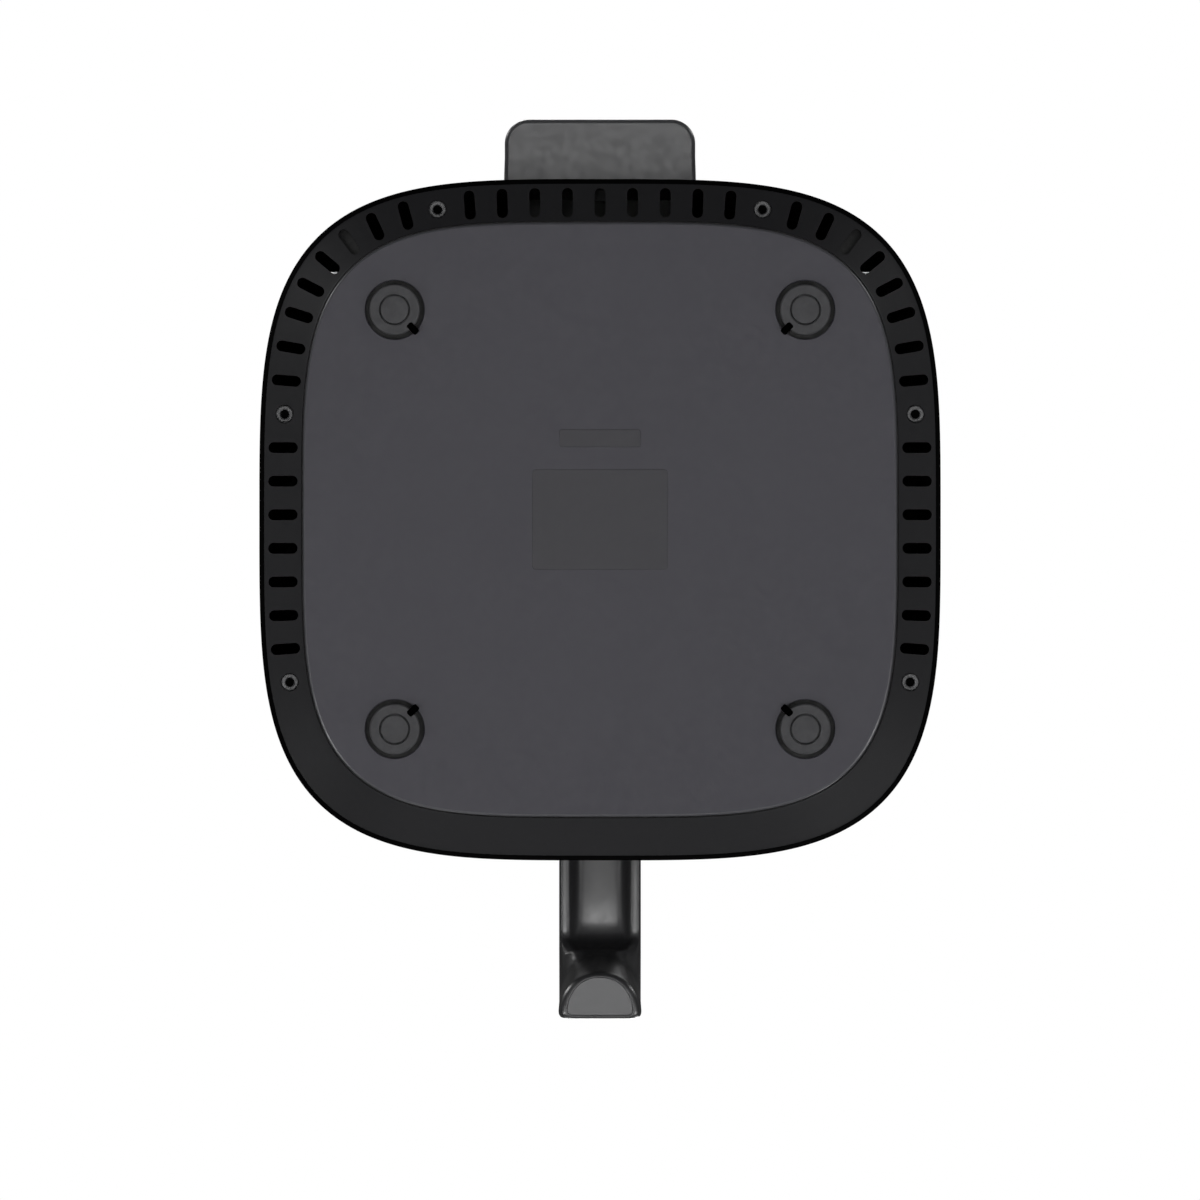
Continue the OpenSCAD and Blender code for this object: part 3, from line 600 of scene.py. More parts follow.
PLATE_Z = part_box("base_plate")[0].z / MM
RING_REACH = BODY_HALF - PLATE_HALF     # from the plate's edge out to the housing's side
SHELL_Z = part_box("rear_shell")[0].z / MM
SLOT_LONG, SLOT_WIDE = 11.0, 4.0
SLOT_REACH = SLOT_HALF - PLATE_HALF
REAR_PITCH, CORNER_PITCH, SIDE_PITCH = 12.04, 11.16, 12.4
REAR_LAST, CORNER_LAST = 7, 11          # steps at which the rear and the corner end
RING_FOOT, RING_SLOPE = 4.9, 0.71       # the ring's height at the plate's edge, and its rise outwards
SLOT_LEAN = 0.3                         # how far a leaning slot shifts towards the plate
BLIND_DEPTH, THROUGH_Z = 2.0, 25.0      # depth of a blind slot, and a height clear above the ring
SHADE_CAP_RISE, SHADE_CAP_THICK = 1.4, 0.8          # near-black cap behind a blind slot that paints the shade in it, from the ring's underside
PLATE_GAP = 0.4                         # between the base plate and the ring round it
SCREW_STEPS, LAST_STEP, BLIND_STEP = (5, 14, 22), 22, 8
SCREW_HEAD_R, SCREW_HEAD_Z, SCREW_SEAT_Z = 3.3, 12.8, 14.8
SCREW_INSET = 0.5                       # how far inside the slots' line the screws sit


def slope_z(reach):
    """Height of the ring's underside at a distance out from the plate's edge."""
    return RING_FOOT + RING_SLOPE * reach


def slot_distance(step):
    """Distance of a slot from the rear middle: even along the rear, the corner and the side."""
    rear = min(step, REAR_LAST) * REAR_PITCH
    corner = max(0, min(step, CORNER_LAST) - REAR_LAST) * CORNER_PITCH
    side = max(0, step - CORNER_LAST) * SIDE_PITCH
    return rear + corner + side


def on_slot_line(step, side):
    """A function that carries a point from the origin to a slot's or a screw's place."""
    point, normal = slot_outline.at(slot_distance(step))
    if step in SCREW_STEPS:
        point = point - normal * SCREW_INSET
    turn = Matrix.Rotation(math.atan2(normal.y, normal.x), 4, "Z")
    spot = Matrix.Translation((point.x, point.y, 0)) @ turn
    flip = Matrix.Scale(side, 4, (1, 0, 0))
    return lambda p: flip @ (spot @ p)


def sloped(point):
    """Leans a slot's ends so that they follow the ring's slope."""
    return point + Vector((-SLOT_LEAN, 0, RING_SLOPE * point.x))


def at_screws(part):
    """A part repeated at the six screws."""
    return join(*[moved(part, on_slot_line(step, side)) for step in SCREW_STEPS for side in (1, -1)])


def ring_slots():
    """Everything that is cut from the ring: open slots, blind slots and screw holes."""
    hole_r = SCREW_HEAD_R + 0.1
    hole = lathe([(0, 0), (hole_r, 0), (hole_r, SCREW_SEAT_Z), (0, SCREW_SEAT_Z)])
    parts = []
    for step in range(LAST_STEP + 1):
        for side in (1, -1) if step else (1,):
            if step in SCREW_STEPS:
                parts.append(moved(hole, on_slot_line(step, side)))
            else:
                top = slope_z(SLOT_REACH) + BLIND_DEPTH if step == BLIND_STEP else THROUGH_Z
                shape = slot_part(SLOT_LONG, SLOT_WIDE, 0.0, top, sloped)
                parts.append(moved(shape, on_slot_line(step, side)))
    return join(*parts)


def make_base_ring():
    """A dark moulding that slopes up from the plate to the side of the housing."""
    slope = [(0.0, 6.5), (0.0, 5.25), (0.2, 4.95)]
    slope += [(reach, slope_z(reach)) for reach in (0.6, 3.0, 6.0, 9.0, 12.0, 13.6)]
    top = SHELL_Z - SEAM
    edge = [(14.6, 15.2), (15.3, 15.75), (15.9, 16.3), (16.3, SHELL_Z - SEAM - 0.1), (16.35, top)]
    back = [(13.0, top), (12.0, slope_z(12.0) + 2.4), (3.0, 9.3), (-6.4, 9.3), (-6.4, 6.6)]
    inner = plate_outline.ring(-PLATE_GAP)
    outer = body_outline.ring()
    rings = []
    for reach, z in slope + edge + back:
        t = reach / RING_REACH
        rings.append([(a.x + (b.x - a.x) * t, a.y + (b.y - a.y) * t, z) for a, b in zip(inner, outer)])
    shape = skin(rings, loop=True)
    ring = make("vent_ring", *shape, ring_plastic, "housing", "vent_ring_plastic", ("base_ring",))
    cut(ring, ring_slots())
    # A near-black band round the ring's outer edge, just below the seam to the wall: painted shadow, a dark
    # outline along that edge.
    lip = [(1.9, 15.4), (1.8, 15.1), (1.1, 15.64), (0.5, 16.18), (0.05, 16.5), (0.05, SHELL_Z - 0.05)]
    lip += [(0.4, SHELL_Z + 0.1), (2.0, SHELL_Z + 0.1)]
    rings = [at_height(body_outline.ring(inset), z) for inset, z in lip]
    make("ring_shadow_band", *skin(rings, loop=True), blackened, "housing", "vent_ring_plastic")
    boss = tube([(2.0, SCREW_SEAT_Z), (5.2, SCREW_SEAT_Z - 0.6), (5.2, 18), (2.0, 18)], 48)
    make("screw_bosses", *at_screws(boss), ring_plastic, "housing", "vent_ring_plastic")
    # Near-black caps up in the two blind slots: painted shade in their depth.
    shade_cap_z = slope_z(SLOT_REACH) + SHADE_CAP_RISE
    shade_cap = slot_part(SLOT_LONG - 0.1, SLOT_WIDE - 0.1, shade_cap_z, shade_cap_z + SHADE_CAP_THICK, sloped)
    shade_caps = [moved(shade_cap, on_slot_line(BLIND_STEP, side)) for side in (1, -1)]
    make("slot_shade_caps", *join(*shade_caps), skirt_rubber, "housing", "vent_ring_plastic")


def make_base_screws():
    """Six dark pan heads with deep round sockets, seated up in the ring; a near-black cup in each socket
    paints its shade.
    """
    low, seat = SCREW_HEAD_Z, SCREW_SEAT_Z
    socket = [(1.6, seat + 3), (1.6, low)]
    rim = [(SCREW_HEAD_R, low), (SCREW_HEAD_R, seat)]
    shank = [(1.9, seat), (1.9, seat + 3)]
    head = rounded(socket + rim + shank, 0.6)
    make("cover_screws", *at_screws(tube(head, 48)), screw_black, "housing", "screw_steel", ("base_screws",))
    # A near-black cup in each socket: painted shade in its depth.
    cup = lathe([(1.62, low + 0.6), (1.55, low + 0.6), (1.55, seat + 2.5), (0, seat + 2.5)], count=32)
    make("socket_shade_cups", *at_screws(cup), blackened, "housing", "screw_steel")


# ---------- base plate and feet ----------

FOOT_R, POCKET_R, POCKET_Z = 9.3, 10.9, 6.2
NOTCH_NEAR, NOTCH_FAR, NOTCH_WIDE = 7.3, 12.0, 2.7
FEET = {}
for foot_name in ("foot_front_left", "foot_front_right", "foot_rear_left", "foot_rear_right"):
    low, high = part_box(foot_name)
    FEET[foot_name] = ((low.x + high.x) / 2 / MM, (low.y + high.y) / 2 / MM - AXIS_Y)


def notch(centre, low=-1.0, high=8.0, shrink=0.0):
    """Lever notch across a foot's edge, on the side of the plate's middle."""
    turn = Matrix.Rotation(math.atan2(-centre[1], -centre[0]), 4, "Z")
    long, wide = NOTCH_FAR - NOTCH_NEAR - 2 * shrink, NOTCH_WIDE - 2 * shrink
    ring = rect_ring(long, wide, 0.9 - shrink, 6, ((NOTCH_NEAR + NOTCH_FAR) / 2, 0))
    part = skin([at_height(ring, low), at_height(ring, high)], caps=(low < 0, True))
    return moved(part, lambda p: turn @ p + Vector((*centre, 0)))


def make_base_plate():
    """A flat plate with a pocket for each foot and a bevel round its edge, glossier and lighter than the
    plate: the lighter colour is a painted highlight.
    """
    side = [(0.2, 6.45), (0.2, 4.7), (0.85, PLATE_Z), (1.6, PLATE_Z)]
    rings = [at_height(plate_outline.ring(inset), z) for inset, z in side]
    plate = make("bottom_plate", *skin(rings), plate_plastic, "housing", "base_plastic", ("base_plate",))
    mouth = [(0, 0), (POCKET_R + 0.3, 0), (POCKET_R + 0.2, PLATE_Z), (POCKET_R, PLATE_Z + 0.2)]
    pocket = mouth + [(POCKET_R, POCKET_Z), (0, POCKET_Z)]
    cut(plate, join(*[lathe(pocket, centre) for centre in FEET.values()]), 40)
    cut(plate, join(*[notch(centre) for centre in FEET.values()]), 40)
    # The bevel's own material: its lighter colour paints the highlight along the plate's edge.
    bevel = [(0.85, PLATE_Z - 0.02), (0.5, PLATE_Z + 0.08), (0.2, PLATE_Z + 0.26), (0.05, PLATE_Z + 0.5)]
    bevel += [(0.05, 6.0), (0.6, 6.0)]
    rings = [at_height(plate_outline.ring(inset), z) for inset, z in bevel]
    make("plate_bevel", *skin(rings, loop=True), highlight_bevel_plastic, "housing", "base_plastic")


def make_feet():
    """Round rubber feet with a lowered middle inside a fine groove."""
    face = [(0, 0.3), (4.85, 0.3), (5.05, 0.45), (5.1, 2.6)]
    face += [(5.65, 2.6), (5.7, 0.15), (5.85, 0.0), (8.7, 0.0)]
    edge = [(8.7 + x, 0.6 - z) for x, z in arc_rows(0.6, 90, 0, 5)]
    side = [(FOOT_R, 3.0), (FOOT_R - 0.1, POCKET_Z - 0.05), (0, POCKET_Z - 0.05)]
    # A near-black ring in the gap between each foot and its pocket: painted shade.
    low, high = POCKET_Z - 0.9, POCKET_Z - 0.3
    rows = [(FOOT_R - 0.4, high), (FOOT_R - 0.4, low), (POCKET_R - 0.1, low), (POCKET_R - 0.1, high)]
    for name, centre in FEET.items():
        shape = lathe(face + edge + side, centre)
        foot = make("rubber_" + name, *shape, foot_rubber, "housing", "foot_rubber", (name,))
        cut(foot, notch(centre), 40)
        shade_ring = make("skirt_" + name, *tube(rows, 96, centre), skirt_rubber, "housing", "foot_rubber")
        cut(shade_ring, notch(centre), 40)
    # Near-black cups inside the lever notches: painted shade in the notches.
    cups = [notch(centre, 1.6, 7.9, 0.04) for centre in FEET.values()]
    make("notch_shade_cups", *join(*cups), blackened, "housing", "foot_rubber")


def make_label():
    """A blank rating plate and a blank strip."""
    parts = []
    for width, depth, radius, y in ((50, 37, 1.5, 0), (30, 6.5, 1.0, 30)):
        rows = [(0.0, PLATE_Z + 0.05), (0.0, PLATE_Z - 0.12), (0.12, PLATE_Z - 0.2)]
        rings = [
            at_height(rect_ring(width - 2 * inset, depth - 2 * inset, radius - inset, 8, (0, y)), z)
            for inset, z in rows
        ]
        parts.append(skin(rings))
    make("blank_label", *join(*parts), label_film, "housing", "label_film", ("rating_label",))


# ---------- shells ----------

COVER_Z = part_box("top_cover")[0].z / MM
TOP_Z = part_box("top_cover")[1].z / MM
SPLIT_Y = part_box("rear_shell")[0].y / MM - AXIS_Y
ROW_GAP = 12.0                          # largest height between two rows of a wall's points
FRONT_EDGE = 0.9                        # radius of the edges of the drawer front and of its opening


def wall_loop(low, high, lip):
    """Closed section (inset, height) of a wall: outside up, inside down. The lip pulls its edges in."""
    rows = max(2, round((high - low) / ROW_GAP))
    outside = [(0.0, low + lip + (high - low - 2 * lip) * i / rows) for i in range(rows + 1)]
    return [(lip, low), *outside, (lip, high), (WALL, high), (WALL, low)]


def make_shell_part(name, start, end, count, replaces):
    """Part of the wall between two places on the outline, with grooves at all its edges."""
    loop = wall_loop(SHELL_Z + SEAM, COVER_Z - SEAM, 0.35)
    bite = 0.6 / body_outline.total
    rings = []
    between = end - start - 2 * bite
    steps = [start, start + bite] + [start + bite + between * i / count for i in range(1, count)]
    for index, place_on in enumerate(steps + [end - bite, end]):
        point, normal = body_outline.at(body_outline.total * place_on)
        pulled = 0.5 if index in (0, len(steps) + 1) else 0.0
        insets = [(max(inset, pulled), z) for inset, z in loop]
        rings.append([(point.x - normal.x * inset, point.y - normal.y * inset, z) for inset, z in insets])
    return make(name, *skin(rings), housing_plastic, "housing", "housing_plastic", replaces)


def front_y(x):
    """The housing's front surface at a distance x from the middle."""
    return -BODY_HALF * (1 - abs(x / BODY_HALF) ** BODY_POWER) ** (1 / BODY_POWER)


WINDOW_X, WINDOW_LOW, WINDOW_HIGH, WINDOW_R = 99.0, 30.0, 176.0, 8.0


def front_patch(gap, rows, fills=14):
    """A solid that follows the housing's front: rows of (shrink, depth) from its back to its face."""
    width, height = 2 * (WINDOW_X - gap), WINDOW_HIGH - WINDOW_LOW - 2 * gap
    middle = (WINDOW_LOW + WINDOW_HIGH) / 2

    def ring(shrink, depth, scale=1.0):
        flat = rect_ring(width - 2 * shrink, height - 2 * shrink, WINDOW_R - gap - shrink, 12, per_side=28)
        return [(x * scale, front_y(x * scale) + depth, middle + z * scale) for x, z in flat]

    scales = [math.sin(math.pi / 2 * i / fills) for i in range(1, fills)]
    rings = [ring(*rows[0], 0.01)] + [ring(*rows[0], s) for s in scales]
    rings += [ring(*row) for row in rows]
    rings += [ring(*rows[-1], s) for s in reversed(scales)] + [ring(*rows[-1], 0.01)]
    return skin(rings)


def front_edge():
    """The round edge of the drawer front, as (shrink, depth) rows from its side to its face."""
    turns = [math.radians(a) for a in range(0, 91, 18)]
    return [(FRONT_EDGE - FRONT_EDGE * math.cos(a), FRONT_EDGE - FRONT_EDGE * math.sin(a)) for a in turns]


def make_shells():
    """The wall in two parts: round the back, and the front with the drawer's opening."""
    split = body_outline.where(lambda p: p.x < 0 and p.y < SPLIT_Y) / body_outline.total
    make_shell_part("back_shell", -split, split, 300, ("rear_shell",))
    front = make_shell_part("front_fascia", split, 1 - split, 220, ("front_shell",))
    flare = [(-shrink, depth) for shrink, depth in front_edge()]
    cut(front, front_patch(0.0, [(0.0, 14.0), *flare, (-0.95, -3.0)]), 28)


def make_drawer_front():
    """The drawer's face, flush with the front and with an even gap round it."""
    patch = front_patch(1.0, [(0.6, WALL), (0.0, WALL - 0.5), *front_edge()], 18)
    make("drawer_fascia", *patch, housing_plastic, "drawer", "housing_plastic", ("drawer_front",))


# ---------- top cover, glass and dial ----------

GLASS_R = (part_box("glass_panel")[1].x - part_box("glass_panel")[0].x) / 2 / MM
DIAL_R = (KNOB_HIGH.x - KNOB_LOW.x) / 2 / MM
DIAL_TOP = KNOB_HIGH.z / MM
SHOULDER = 15.0                         # radius of the edge between the side and the top


def top_ring(inset, z, blend=0.0, radius=GLASS_R):
    """A ring between the housing's outline and a circle round the glass."""
    out = []
    for point in body_outline.ring(inset):
        a = math.atan2(point.y, point.x)
        x, y = DIAL_X + radius * math.cos(a), DIAL_Y + radius * math.sin(a)
        out.append((point.x + (x - point.x) * blend, point.y + (y - point.y) * blend, z))
    return out


def make_top_cover():
    """A cover with a round shoulder, a slight crown and a seat for the glass."""
    low = COVER_Z + SEAM
    crown = 0.9
    shoulder_z = TOP_Z - crown - SHOULDER
    side = [(0.35, low), (0.0, low + 0.35), (0.0, shoulder_z)]
    turns = [math.radians(a) for a in range(6, 91, 6)]
    shoulder = [(SHOULDER - SHOULDER * math.cos(a), shoulder_z + SHOULDER * math.sin(a)) for a in turns]
    rings = [top_ring(inset, z) for inset, z in side + shoulder]
    for i in range(1, 13):
        t = i / 12
        rings.append(top_ring(SHOULDER, TOP_Z - crown + crown * math.sin(t * math.pi / 2), t, GLASS_R + 1.2))
    for wider, drop in ((0.9, 0.08), (0.7, 0.35), (0.6, 2.9), (-4.0, 2.95), (-4.0, 5.5)):
        rings.append(top_ring(SHOULDER, TOP_Z - drop, 1.0, GLASS_R + wider))
    rings.append(top_ring(SHOULDER + WALL, TOP_Z - 5.5))
    rings += [top_ring(WALL + 6, TOP_Z - 10), top_ring(WALL, TOP_Z - 18), top_ring(WALL, low)]
    make("lid_cover", *skin(rings, loop=True), housing_plastic, "housing", "housing_plastic", ("top_cover",))


def make_glass():
    """A round pane with a polished edge and a hole for the dial's shaft."""
    edge = [(GLASS_R - 0.5 + x, TOP_Z - 0.6 + z) for x, z in arc_rows(0.5, 0, 90, 5)]
    profile = [(4.2, TOP_Z - 2.8), (GLASS_R, TOP_Z - 2.8), *edge, (4.6, TOP_Z - 0.1), (4.2, TOP_Z - 0.5)]
    pane = tube(profile, 192, (DIAL_X, DIAL_Y))
    make("control_glass", *pane, panel_glass, "housing", "panel_glass", ("glass_panel",))


MARK_SUNK, MARK_PROUD = 0.03, 0.04      # how far a printed mark goes into and stands out of its level


def flat_mark(ring, z):
    """A printed mark, a few hundredths thick."""
    return skin([at_height(ring, z - MARK_SUNK), at_height(ring, z + MARK_PROUD)])


SEGMENTS = {
    "top": (0, 2, 1), "upper_left": (-1, 1, 0), "upper_right": (1, 1, 0), "middle": (0, 0, 1),
    "lower_left": (-1, -1, 0), "lower_right": (1, -1, 0), "bottom": (0, -2, 1),
}
DIGITS = {
    "1": ("upper_right", "lower_right"),
    "8": tuple(SEGMENTS),
    "0": tuple(s for s in SEGMENTS if s != "middle"),
}


def make_prints():
    """Dial ticks, a plain three-figure readout and round touch marks."""
    z = TOP_Z - 0.08
    parts = []
    for i in range(25):
        a = math.radians(225 - 270 * i / 24)
        long = 3.2 if i % 6 == 0 else 1.8
        ring = rect_ring(long, 0.5, 0.2, 3, (DIAL_R + 4.4 + long / 2, 0))
        turn = Matrix.Rotation(a, 4, "Z")
        parts.append(moved(flat_mark(ring, z), lambda p, turn=turn: turn @ p + Vector((DIAL_X, DIAL_Y, 0))))
    half_wide, quarter_high = 2.0, 1.9
    for index, digit in enumerate("180"):
        middle = Vector((DIAL_X + (index - 1) * 7.2, DIAL_Y - 36.5, 0))
        for name in DIGITS[digit]:
            sx, sz, flat = SEGMENTS[name]
            size = (2.9, 0.75) if flat else (0.75, 2.9)
            ring = rect_ring(*size, 0.3, 3, (middle.x + sx * half_wide, middle.y + sz * quarter_high))
            parts.append(flat_mark(ring, z))
    for angle in (200, 222, 318, 340):
        a = math.radians(angle)
        x, y = DIAL_X + 42 * math.cos(a), DIAL_Y + 42 * math.sin(a)
        low, high = z - MARK_SUNK, z + MARK_PROUD
        parts.append(tube([(3.4, low), (3.4, high), (3.05, high), (3.05, low)], 48, (x, y)))
        parts.append(flat_mark(rect_ring(2.4, 0.5, 0.2, 3, (x, y)), z))
        if angle in (200, 340):
            parts.append(flat_mark(rect_ring(0.5, 2.4, 0.2, 3, (x, y)), z + 0.02))
    make("panel_marks", *join(*parts), pale_print, "housing", "panel_glass")


def make_dial():
    """A turned knob with fine flutes, a chamfer and a dished top."""
    low = TOP_Z + 1.2
    flutes = 90

    def flute(a, radius, height):
        on_side = low + 1.2 < height < DIAL_TOP - 1.6 and radius > DIAL_R - 1
        return 0.22 * math.cos(flutes * a) - 0.22 if on_side else 0.0

    top = DIAL_TOP
    side = [(DIAL_R - 0.5, low), *[(DIAL_R, low + rise) for rise in (0.5, 1.1, 1.5, 4)]]
    chamfer = [(DIAL_R - x, top - drop) for x, drop in ((0, 2.0), (0, 1.5), (0.1, 1.2), (1.2, 0.15))]
    dish = [(DIAL_R - 1.5, top), (DIAL_R - 1.9, top - 0.05), (12, top - 0.5), (6, top - 0.7), (0, top - 0.75)]
    inside = [(0, top - 3), (DIAL_R - 2.5, top - 3), (DIAL_R - 2.5, low)]
    knob = lathe(inside + side + chamfer + dish, (DIAL_X, DIAL_Y), 720, flute)
    make("control_knob", *knob, dial_metal, "dial", "dial_metal", ("dial_knob",))
    dot = [(0, top - 0.7), (0.9, top - 0.7), (0.9, top - 0.3), (0.75, top - 0.22), (0, top - 0.2)]
    make("knob_mark", *lathe(dot, (DIAL_X, DIAL_Y + 15.5), 32), pale_print, "dial", "dial_metal")


# ---------- rear: exhaust hood and cord grommet ----------

HOOD_LOW, HOOD_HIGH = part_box("exhaust_hood")
HOOD_HALF = HOOD_HIGH.x / MM
HOOD_END = HOOD_HIGH.y / MM - AXIS_Y
HOOD_Z0, HOOD_Z1 = HOOD_LOW.z / MM, HOOD_HIGH.z / MM
HOOD_R, HOOD_EDGE, HOOD_WALL = 9.0, 1.6, 2.5
LOUVRES, LOUVRE_PITCH, LOUVRE_LOW = 13, 8, 15
LOUVRE_LONG, LOUVRE_HIGH = 54, 3.8


def hood_ring(inset, z):
    """The hood seen from above: round outer corners, slightly wider where it meets the housing."""
    half, end, radius = HOOD_HALF - inset, HOOD_END - inset, HOOD_R - inset
    root = BODY_HALF - 2.0
    right = [(half, root), (half - 0.1, root + 6), (half - 0.3, root + 12)]
    corner = [(half - 0.3 - radius + x, end - radius + y) for x, y in arc_rows(radius, 0, 90, 14)]
    across = [(half - radius - (half - radius) * i / 6, end) for i in range(1, 6)]
    side = right + corner + across
    return [(x, y, z) for x, y in side + [(0, end)] + [(-x, y) for x, y in reversed(side)]]


def make_hood():
    """A hollow hood, open to the housing, with louvres across its back."""
    edge = [(HOOD_EDGE - x, HOOD_EDGE - z) for x, z in arc_rows(HOOD_EDGE, 0, 90, 5)]
    rings = [hood_ring(inset, HOOD_Z0 + rise) for inset, rise in reversed(edge)]
    rows = 12
    low, high = HOOD_Z0 + HOOD_EDGE, HOOD_Z1 - HOOD_EDGE
    rings += [hood_ring(0, low + (high - low) * i / rows) for i in range(1, rows)]
    rings += [hood_ring(inset, HOOD_Z1 - rise) for inset, rise in edge]
    hood = make("rear_hood", *skin(rings), hood_plastic, "housing", "hood_plastic", ("exhaust_hood",))
    hollow = [hood_ring(HOOD_WALL, z) for z in (HOOD_Z0 + HOOD_WALL, HOOD_Z1 - HOOD_WALL)]
    hollow = [[(x, y - (5 if y < BODY_HALF else 0), z) for x, y, z in ring] for ring in hollow]
    cut(hood, skin(hollow), 30)
    louvres = []
    ring = rect_ring(LOUVRE_LONG, LOUVRE_HIGH, 1.85, 6)
    for i in range(LOUVRES):
        z = HOOD_Z0 + LOUVRE_LOW + LOUVRE_PITCH * i + LOUVRE_HIGH / 2
        louvres.append(skin([[(x, y, z + h) for x, h in ring] for y in (HOOD_END - 5, HOOD_END + 2)]))
    cut(hood, join(*louvres), 30)


def make_grommet():
    """A rubber collar round the cord's way out, low on the back."""
    low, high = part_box("cord_grommet")
    z = (low.z + high.z) / 2 / MM
    lip = rounded([(3.7, -7.5), (3.7, 0.1), (8.6, 0.1), (8.6, -0.8), (7.9, -0.9), (7.9, -7.5)], 0.6)
    turns = [TAU * k / 64 for k in range(64)]
    rings = [
        [(radius * math.cos(a), BODY_HALF + out, z + radius * math.sin(a)) for a in turns]
        for radius, out in lip
    ]
    collar = skin(rings, loop=True)
    make("cord_collar", *collar, grommet_rubber, "housing", "grommet_rubber", ("cord_grommet",))


# ---------- drawer handle ----------

HANDLE_LOW, HANDLE_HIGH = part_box("handle")
HANDLE_HALF = (HANDLE_HIGH.x - HANDLE_LOW.x) / 2 / MM
HANDLE_FRONT = HANDLE_LOW.y / MM - AXIS_Y
GRIP_Z, ARM_TOP = HANDLE_LOW.z / MM, HANDLE_HIGH.z / MM
ARM_Z = 146.0
GRIP_END, GRIP_ROOT = 17.6, 23.0        # depth of the grip at its lower end and under the arm
ARM_STEPS, BEND_STEPS, GRIP_STEPS = 40, 36, 80
TIGHT_BEND, CHANNEL_BEND = 9.0, 20.0    # bend of the outside and the rims, and of the channel


def smooth(t):
    """A smooth step from 0 to 1."""
    t = min(1.0, max(0.0, t))
    return t * t * (3 - 2 * t)


def bent_path(points, radius):
    """Points along the arm, round the bend and down the grip, in the (y, z) plane."""
    a, corner, b = [Vector(p) for p in points]
    one, two = (a - corner).normalized(), (b - corner).normalized()
    half_turn = one.angle(two) / 2
    reach = radius / math.tan(half_turn)
    start, end = corner + one * reach, corner + two * reach
    centre = corner + (one + two).normalized() * (radius / math.sin(half_turn))
    first = start - centre
    turn = first.angle_signed(end - centre)
    path = [a.lerp(start, i / ARM_STEPS) for i in range(ARM_STEPS)]
    path += [centre + Matrix.Rotation(-turn * i / BEND_STEPS, 2) @ first for i in range(BEND_STEPS)]
    return path + [end.lerp(b, i / GRIP_STEPS) for i in range(GRIP_STEPS + 1)]


def make_handle():
    """An arm with a hollow underside that turns down into a half round grip."""
    root_y, root_z = -BODY_HALF + 2.5, ARM_Z
    outside = bent_path([(root_y, ARM_TOP), (HANDLE_FRONT, ARM_TOP), (HANDLE_FRONT, GRIP_Z)], TIGHT_BEND)
    corners = [(root_y, root_z), (HANDLE_FRONT + GRIP_ROOT, root_z), (HANDLE_FRONT + GRIP_END, GRIP_Z)]
    blend_start, blend_steps = ARM_STEPS + 0.2 * BEND_STEPS, 0.8 * BEND_STEPS + 0.1 * GRIP_STEPS
    channels, rims = bent_path(corners, CHANNEL_BEND), bent_path(corners, TIGHT_BEND)
    rings = []
    for i, (top, channel, rim) in enumerate(zip(outside, channels, rims)):
        arm = 1 - smooth((i - blend_start) / blend_steps)
        rings.append(handle_ring(top, channel, rim, arm, smooth(i / blend_start)))
    last = rings[-1]
    rings = [ring for ring in rings if min(p[2] for p in ring) > GRIP_Z + 3.6]
    for turn in (0, 15, 30, 45, 60, 75, 90):
        rings.append(end_ring(last, turn, 0.0))
    rings.append(end_ring(last, 90, 0.12, 0.0))
    rings.append(end_ring(last, 90, 0.2, 0.7))
    rings.append(end_ring(last, 90, 1.0, 0.7))
    shape = skin(rings)
    handle = make("pull_handle", *shape, handle_plastic, "drawer", "handle_plastic", ("handle",), crease=50)
    handle.modifiers.new("rounding", "SUBSURF")
    handle.modifiers.move(1, 0)
    rows = [(0.24, 0.68), (0.24, 0.12), (0.4, 0.0), (0.8, -0.02)]
    cap = [end_ring(last, 90, inset, rise) for inset, rise in rows]
    make("handle_end_cap", *skin(cap), end_plastic, "drawer", "handle_plastic")


def end_ring(ring, turn, inset, rise=None):
    """A ring of the grip's round lower edge: tight along its flat front, wide round its back."""
    middle_y = min(p[1] for p in ring)
    depth = max(p[1] for p in ring) - middle_y
    out = []
    bend = math.radians(turn)
    for x, y, _ in ring:
        beside = max((y - middle_y) / (0.35 * depth), (abs(x) / HANDLE_HALF - 0.72) / 0.22)
        radius = 1.1 + 2.1 * smooth(beside)
        scale_x = 1 - (3.1 * (1 - math.cos(bend)) + inset) / HANDLE_HALF
        back = (y - middle_y) / depth
        pull = (1 - math.cos(bend)) * (1.1 * (1 - back) - 1.9 * back) + inset * (1 - 2 * back)
        height = GRIP_Z + radius * (1 - math.sin(bend)) if rise is None else GRIP_Z + rise
        out.append((x * scale_x, y + pull, height))
    return out


# The arm's half section, as (across, depth share): along the top, down the side, the rim, the channel.
ARM_SECTION = [
    (0.0, 0.0), (0.25, 0.0), (0.5, 0.0), (0.72, 0.0), (0.86, 0.005), (0.94, 0.03), (0.985, 0.08),
    (1.0, 0.15), (1.0, 0.25), (1.0, 0.38), (1.0, 0.5), (1.0, 0.65), (1.0, 0.8),
    (0.997, 0.92), (0.988, 0.962), (0.968, 0.985), (0.935, 0.997), (0.87, 1.0), (0.8, 0.998), (0.755, 0.99),
    (0.72, 0.972), (0.68, 0.935), (0.63, 0.885), (0.58, 0.845), (0.52, 0.818), (0.45, 0.805), (0.3, 0.8),
    (0.15, 0.797), (0.0, 0.796),
]
CREST = 18                              # the last point on the rim's crest; the channel is after it


def grip_share(index, total):
    """(across, depth share) of the half round grip at a point of its half section."""
    flat = 7
    if index <= flat:
        return ARM_SECTION[index][0], ARM_SECTION[index][1] * 0.9
    t = (index - flat) / (total - 1 - flat)
    angle = math.pi / 2 * t
    start = ARM_SECTION[flat][1] * 0.9
    return math.cos(angle) ** 0.92, start + (1 - start) * math.sin(angle) ** 1.05


